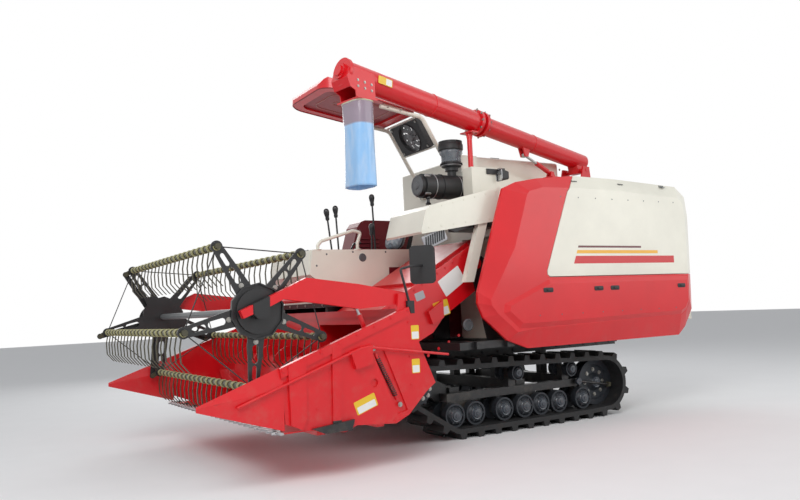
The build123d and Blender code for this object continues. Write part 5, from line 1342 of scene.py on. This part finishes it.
class COMBINE_OT_air_intake(bpy.types.Operator):
    """Clamps, clear bowl, vanes and lid of the air filter, and the work lamp's glass"""

    bl_idname = "combine.air_intake"
    bl_label = "Air filter and lamp"

    VANES = 26

    def execute(self, context):
        spots = [(x, FILTER_Y, FILTER_Z) for x in (-300, -20)]
        repeat("filter_clamps", ring_tree, spots, FORWARD, "machine", "steel", Ring=FILTER_R + 1,
               Wire=4)
        lid = lathe(((0, 0), (94, 0), (94, 6), (80, 14), (76, 8), (34, 8), (30, 16), (14, 18),
                     (0, 18)))
        dress("filter_lid", lid, "trim", "machine",
              seat_matrix((129, FILTER_Y, FILTER_Z), FORWARD))
        latch = plate(60, 22, 7, 10, 3)
        latches = Places()
        for k in range(4):
            turn = math.radians(45 + 90 * k)
            out = (0.0, math.cos(turn), math.sin(turn))
            latches.add(out, (70, FILTER_Y + out[1] * FILTER_R, FILTER_Z + out[2] * FILTER_R))
        copies("filter_latches", latch, latches.spots, latches.ways, "machine", "steel")
        valve = lathe(((0, 0), (22, 0), (24, 14), (14, 22), (16, 50), (26, 62), (22, 72), (0, 74)),
                      20)
        dress("dust_valve", valve, "knob", "machine",
              seat_matrix((40, FILTER_Y + 30, FILTER_Z - 104), DOWN))
        bowl = lathe(((90, 0), (95, 4), (97, 60), (112, 84), (112, 100), (106, 112), (90, 112)), 32)
        dress("cleaner_bowl", bowl, "bowl", "machine", seat_matrix((CLEANER_X, FILTER_Y, 2441)))
        vanes = Places()
        for k in range(self.VANES):
            turn = 2 * math.pi * k / self.VANES
            out = (math.cos(turn), math.sin(turn), 0.0)
            vanes.add(out, (CLEANER_X + out[0] * 99, FILTER_Y + out[1] * 99, 2424))
        repeat("cleaner_vanes", slat_tree, vanes.spots, vanes.ways, "machine", "plastic",
               Size=(22.0, 3.0, 14.0))
        cap = lathe(((0, -34), (112, -34), (118, -28), (119, 14), (112, 30), (60, 42), (18, 45),
                     (16, 52), (0, 53)), 32)
        dress("cleaner_cap", cap, "plastic", "machine", seat_matrix((CLEANER_X, FILTER_Y, 2588)))
        repeat("cleaner_bands", ring_tree,
               [(CLEANER_X, FILTER_Y, 2412)], UP, "machine", "steel",
               Ring=94, Wire=4)
        # work lamp
        lens = plate(100, 78, 18, 7, 3)
        dress("work_lamp_glass", lens, "lens", "machine",
              seat_matrix((-613, 408, 2292), FORWARD, UP), 25)
        rim = [(-596, 408 + y, 2292 + z) for y, z in rounded_outline(86, 108, 20, 6)]
        bead("work_lamp_rim", rim, 4, "steel")
        return {"FINISHED"}


# ------------------------------------------------------------------ header
class COMBINE_OT_header_trim(bpy.types.Operator):
    """Bolts, plates, spring and knife of the feeder and the header"""

    bl_idname = "combine.header_trim"
    bl_label = "Feeder and header"

    PLATES = (
        ("feeder_plate_white", "label_white", FEEDER_Y1, (205, 1306), (250, 150), 0.56),
        ("feeder_plate_yellow", "label_yellow", FEEDER_Y1, (324, 1082), (152, 128), 0.25),
        ("feeder_plate_grey", "label_grey", FEEDER_Y1, (533, 1192), (92, 66), 0.33),
        ("side_plate_upper", "label_yellow", HEAD_Y1, (980, 925), (66, 100), 0.0),
        ("side_plate_lower", "label_yellow", HEAD_Y1, (986, 689), (66, 100), 0.0),
        ("side_plate_front", "label_yellow", HEAD_Y1, (1402, 467), (170, 92), 0.33),
    )

    def execute(self, context):
        for name, key, y, (x, z), (length, width), fall in self.PLATES:
            way = (math.cos(fall), 0, -math.sin(fall))
            place = seat_matrix((x, y - 0.5, z), LEFT, way)
            dress(name, plate(length, width, 8, 2.0, 0.4), key, "header", place, 20)
            if key == "label_yellow":
                inner = plate(length * 0.86, width * 0.5, 5, 1.0, 0.2, 1.6)
                lower = place @ Matrix.Translation((0, width * 0.2, 0))
                dress(name + "_field", inner, "label_white", "header", lower, 20)
        flange = run_spots((-60, FEEDER_Y1 + 1, 1590), (980, FEEDER_Y1 + 1, 1020), 14)
        low = run_spots((60, FEEDER_Y1 + 1, 900), (900, FEEDER_Y1 + 1, 520), 9)
        bolts("feeder_bolts", flange + low, LEFT, "header", "red", 9, 6)
        far = run_spots((-40, FEEDER_Y0 - 1, 1560), (960, FEEDER_Y0 - 1, 1010), 10)
        bolts("feeder_bolts_right", far, RIGHT, "header", "bolt", 9, 6)
        cap = lathe(((0, 0), (52, 0), (52, 8), (40, 14), (36, 10), (14, 10), (0, 14)))
        dress("feeder_shaft_cap", cap, "trim", "header",
              seat_matrix((70, FEEDER_Y1 + 6, 934), LEFT))
        rail = run_spots((1040, HEAD_Y1 + 12, 1085), (2000, HEAD_Y1 + 12, 735), 8)
        bolts("side_rail_bolts", rail, LEFT, "header", "red", 9, 6)
        edge = [(x, HEAD_Y1, z) for x, z in ((1030, 560), (1030, 760), (1030, 1000), (1180, 330),
                                             (1760, 470), (1660, 700))]
        bolts("side_plate_bolts", edge, LEFT, "header", "red", 8, 5)
        repeat("header_spring", coil_tree, [(1230, HEAD_Y1 - 4, 635)], (-160, 0, -330), "header",
               "black", Turns=20.0, Coil=15, Length=300, Wire=3.4)
        ends = [(1326, HEAD_Y1 + 4, 834), (1134, HEAD_Y1 + 4, 436)]
        bolts("header_spring_bolts", ends, LEFT, "header", "bolt", 12, 10)
        knife = prism([(-34, -30), (34, -30), (30, -6), (9, 44), (-9, 44), (-30, -6)], 3, 0.8)
        spots = [(KNIFE_X + 30, -1221 + KNIFE_PITCH * i, KNIFE_Z + 2) for i in range(32)]
        blades = moved(knife, Matrix.Rotation(-math.pi / 2, 4, "Z"))
        copies("knife_sections", blades, spots, UP, "header", "steel")
        clip = joined(
            plate(70, 26, 6, 8, 3),
            moved(lathe(((0, 0), (9, 0), (9, 6), (0, 7)), 8), Matrix.Translation((-14, 0, 8))),
        )
        spots = [(KNIFE_X + 4, -1145 + 3 * KNIFE_PITCH * i, KNIFE_Z + 1) for i in range(11)]
        copies("knife_clips", clip, spots, UP, "header", "iron")
        back = run_spots((1005, HEAD_Y0 + 60, 1010), (1005, HEAD_Y1 - 60, 1010), 16)
        bolts("trough_bolts", back, BACK, "header", "bolt", 10, 7)
        return {"FINISHED"}


class COMBINE_OT_reel_trim(bpy.types.Operator):
    """Tine springs, spider bolts and hub covers of the reel"""

    bl_idname = "combine.reel_trim"
    bl_label = "Reel"

    def execute(self, context):
        sizes = context.scene.combine_tines
        pitch = (BAR_Y1 - BAR_Y0 - 130) / (TINES - 1)
        clamp = lathe(((0, -7), (21, -7), (23, -4), (23, 4), (21, 7), (0, 7)), 16)
        for i in range(BARS):
            x, z = bar_place(i)
            spots = [(x, BAR_Y0 + 84 + pitch * k, z) for k in range(TINES)]
            repeat(f"tine_springs_{i + 1}", coil_tree, spots, LEFT, f"reel_bar_{i + 1}", "coil",
                   Turns=float(sizes.spring_turns), Coil=24, Length=34,
                   Wire=sizes.spring_wire / MM)
            spots = [(x, BAR_Y0 + 62 + pitch * k, z) for k in range(TINES)]
            copies(f"tine_clamps_{i + 1}", clamp, spots, LEFT, f"reel_bar_{i + 1}", "tine")
        arms = Places()
        for y, way in ((SPIDER_LEFT_Y + 4, LEFT), (SPIDER_RIGHT_Y - 4, RIGHT)):
            for i in range(BARS):
                for reach in (0.26, 0.40):
                    x, z = bar_place(i, reach)
                    arms.add(way, (x, y, z))
        bolts("spider_bolts", arms.spots, arms.ways, "reel", "bolt", 12, 9)
        cap = lathe(((0, 0), (46, 0), (46, 8), (34, 14), (20, 16), (20, 30), (0, 30)))
        dress("reel_shaft_cap", cap, "iron", "reel",
              seat_matrix((REEL[0], SPIDER_LEFT_Y + 20, REEL[1]), LEFT))
        return {"FINISHED"}


# ------------------------------------------------------------------ unloading tube
class COMBINE_OT_unloader_trim(bpy.types.Operator):
    """Flange bolts, plates and seams of the unloading tube, and bolts of its column and turret"""

    bl_idname = "combine.unloader_trim"
    bl_label = "Unloading tube"

    def execute(self, context):
        flanges = Places()
        for s, way in ((BOOM_SPLIT - 70, -BOOM_WAY), (BOOM_SPLIT + 38, BOOM_WAY)):
            flanges.add(way, *ring_spots(boom_point(s), way, 119, 10, 18))
        bolts("tube_flange_bolts", flanges.spots, flanges.ways, "unloader_boom", "bolt", 9, 7)
        tops = [boom_point(s, up, 106) for s in (2905, 2975, 3045) for up in (-70, -120)]
        side = (-math.sin(YAW), math.cos(YAW), 0.0)
        bolts("tube_head_bolts", tops, side, "unloader_boom", "bolt", 8, 6)
        place = seat_matrix(boom_point(2752, 4, 104), side, BOOM_WAY)
        dress("tube_plate", plate(150, 66, 8, 2.4, 0.4), "label_yellow",
              "unloader_boom", place, 20)
        dress("tube_plate_field", plate(62, 54, 5, 1.2, 0.2, 2.0), "label_white",
              "unloader_boom", place @ Matrix.Translation((-38, 0, 0)), 20)
        for name, s, ring in (("rear", 760, 88), ("front", 2150, 100)):
            repeat(f"tube_seam_{name}", ring_tree, [boom_point(s)], BOOM_WAY, "unloader_boom",
                   "red", Ring=ring, Wire=5)
        foot = ring_spots((COLUMN[0], COLUMN[1], 2079), UP, 150, 8)
        bolts("column_foot_bolts", foot, UP, "machine", "bolt", 12, 9)
        turret = ring_spots((COLUMN[0], COLUMN[1], 2380), UP, 145, 8, 22)
        bolts("turret_bolts", turret, UP, "unloader_swing", "bolt", 11, 8)
        return {"FINISHED"}


class COMBINE_OT_sleeve(bpy.types.Operator):
    """Half-clear film sleeve that hangs from the spout, with its hem band"""

    bl_idname = "combine.sleeve"
    bl_label = "Hanging sleeve"

    SECTION = (194.0, 272.0, 80.0)
    ROWS = 44
    HEM_SHARE = 0.03

    def ring(self, share):
        """One level of the sleeve: folds deepen towards its foot."""
        along, across, corner = self.SECTION
        around = rounded_outline(along, across, corner, 9)
        count = len(around)
        fold = 5.0 * min(1.0, share * 1.6)
        narrow = 1.0 - 0.05 * math.sin(math.pi * share) - 0.04 * share
        points = []
        for i, (x, y) in enumerate(around):
            turn = 2 * math.pi * i / count
            wave = (math.sin(3 * turn + 2.1 * share) + 0.6 * math.sin(7 * turn + 5.0 * share + 1.0)
                    + 0.3 * math.sin(11 * turn - 3.0 * share))
            push = 1.0 + fold * wave / 110.0
            points.append((x * narrow * push, y * narrow * push))
        return points

    def skin(self, low, high, length, out):
        """Sheet between two shares of the sleeve's length."""
        def maker(made):
            rings = []
            rows = max(2, round(self.ROWS * (high - low)))
            for r in range(rows + 1):
                share = low + (high - low) * r / rows
                rings.append([
                    made.verts.new((x * out, y * out, -length * share))
                    for x, y in self.ring(share)
                ])
            for upper, lower in zip(rings, rings[1:]):
                for i in range(len(upper)):
                    j = (i + 1) % len(upper)
                    made.faces.new((upper[i], lower[i], lower[j], upper[j]))
        return maker

    def execute(self, context):
        length = context.scene.combine_soft.sleeve_length / MM
        way = Vector((math.cos(YAW), math.sin(YAW), 0.0))
        place = seat_matrix(boom_point(SPOUT_S, -SPOUT_DROP), UP, way)
        film = dress("hanging_sleeve", self.skin(0.0, 1.0, length, 1.0), "film",
                     "unloader_boom", place, 70)
        hem = dress("hanging_sleeve_hem", self.skin(0.0, self.HEM_SHARE, length, 1.012), "hem",
                    "unloader_boom", place, 70)
        for piece, thickness in ((film, FILM_WALL), (hem, HEM_WALL)):
            piece.modifiers.new("film", "SOLIDIFY").thickness = thickness
        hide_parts("spout_sleeve")
        return {"FINISHED"}

    def around(self):
        """Mean length round the sleeve, over its rows."""
        total = 0.0
        for r in range(self.ROWS + 1):
            points = self.ring(r / self.ROWS)
            total += sum(
                math.dist(points[i], points[(i + 1) % len(points)]) for i in range(len(points))
            )
        return total / (self.ROWS + 1)


# ------------------------------------------------------------------ mirror
class COMBINE_OT_mirror_trim(bpy.types.Operator):
    """Glass and bezel of the mirror"""

    bl_idname = "combine.mirror_trim"
    bl_label = "Mirror"

    def execute(self, context):
        normal = Vector((-0.77, -0.64, 0.0))
        place = seat_matrix(Vector((752, 1068, 1420)) + normal * 14, normal, UP)
        dress("mirror_glass", prism(rounded_outline(196, 118, 30, 6), 4, 1.2), "glass", "header",
              place, 25)
        rim = [place @ Vector((x, y, 3)) for x, y in rounded_outline(206, 128, 34, 6)]
        bead("mirror_bezel", rim, 5, "plastic", "header")
        return {"FINISHED"}


# ------------------------------------------------------------------ panel
class COMBINE_PT_panel(bpy.types.Panel):
    """Lists the steps of the dressing"""

    bl_idname = "COMBINE_PT_panel"
    bl_label = "Combine"
    bl_space_type = "VIEW_3D"
    bl_region_type = "UI"
    bl_category = "Combine"

    def draw(self, context):
        for step in STEPS:
            self.layout.operator(step.bl_idname)


STEPS = (
    COMBINE_OT_studio,
    COMBINE_OT_finishes,
    COMBINE_OT_frame_paint,
    COMBINE_OT_running_gear,
    COMBINE_OT_side_covers,
    COMBINE_OT_body_trim,
    COMBINE_OT_engine_bay,
    COMBINE_OT_controls,
    COMBINE_OT_canopy_trim,
    COMBINE_OT_air_intake,
    COMBINE_OT_header_trim,
    COMBINE_OT_reel_trim,
    COMBINE_OT_unloader_trim,
    COMBINE_OT_mirror_trim,
    COMBINE_OT_sleeve,
    COMBINE_OT_seat,
)
SETTINGS = (
    (PaintSettings, "combine_paint"),
    (TineSettings, "combine_tines"),
    (SoftSettings, "combine_soft"),
    (StageSettings, "combine_stage"),
)


def register():
    for cls in (*(group for group, name in SETTINGS), *STEPS, COMBINE_PT_panel):
        bpy.utils.register_class(cls)
    for group, name in SETTINGS:
        setattr(bpy.types.Scene, name, PointerProperty(type=group))


def unregister():
    for group, name in SETTINGS:
        delattr(bpy.types.Scene, name)
    for cls in reversed((*(group for group, name in SETTINGS), *STEPS, COMBINE_PT_panel)):
        bpy.utils.unregister_class(cls)


def main():
    register()
    for step in STEPS:
        group, name = step.bl_idname.split(".")
        getattr(getattr(bpy.ops, group), name)()


if __name__ == "__main__":
    main()
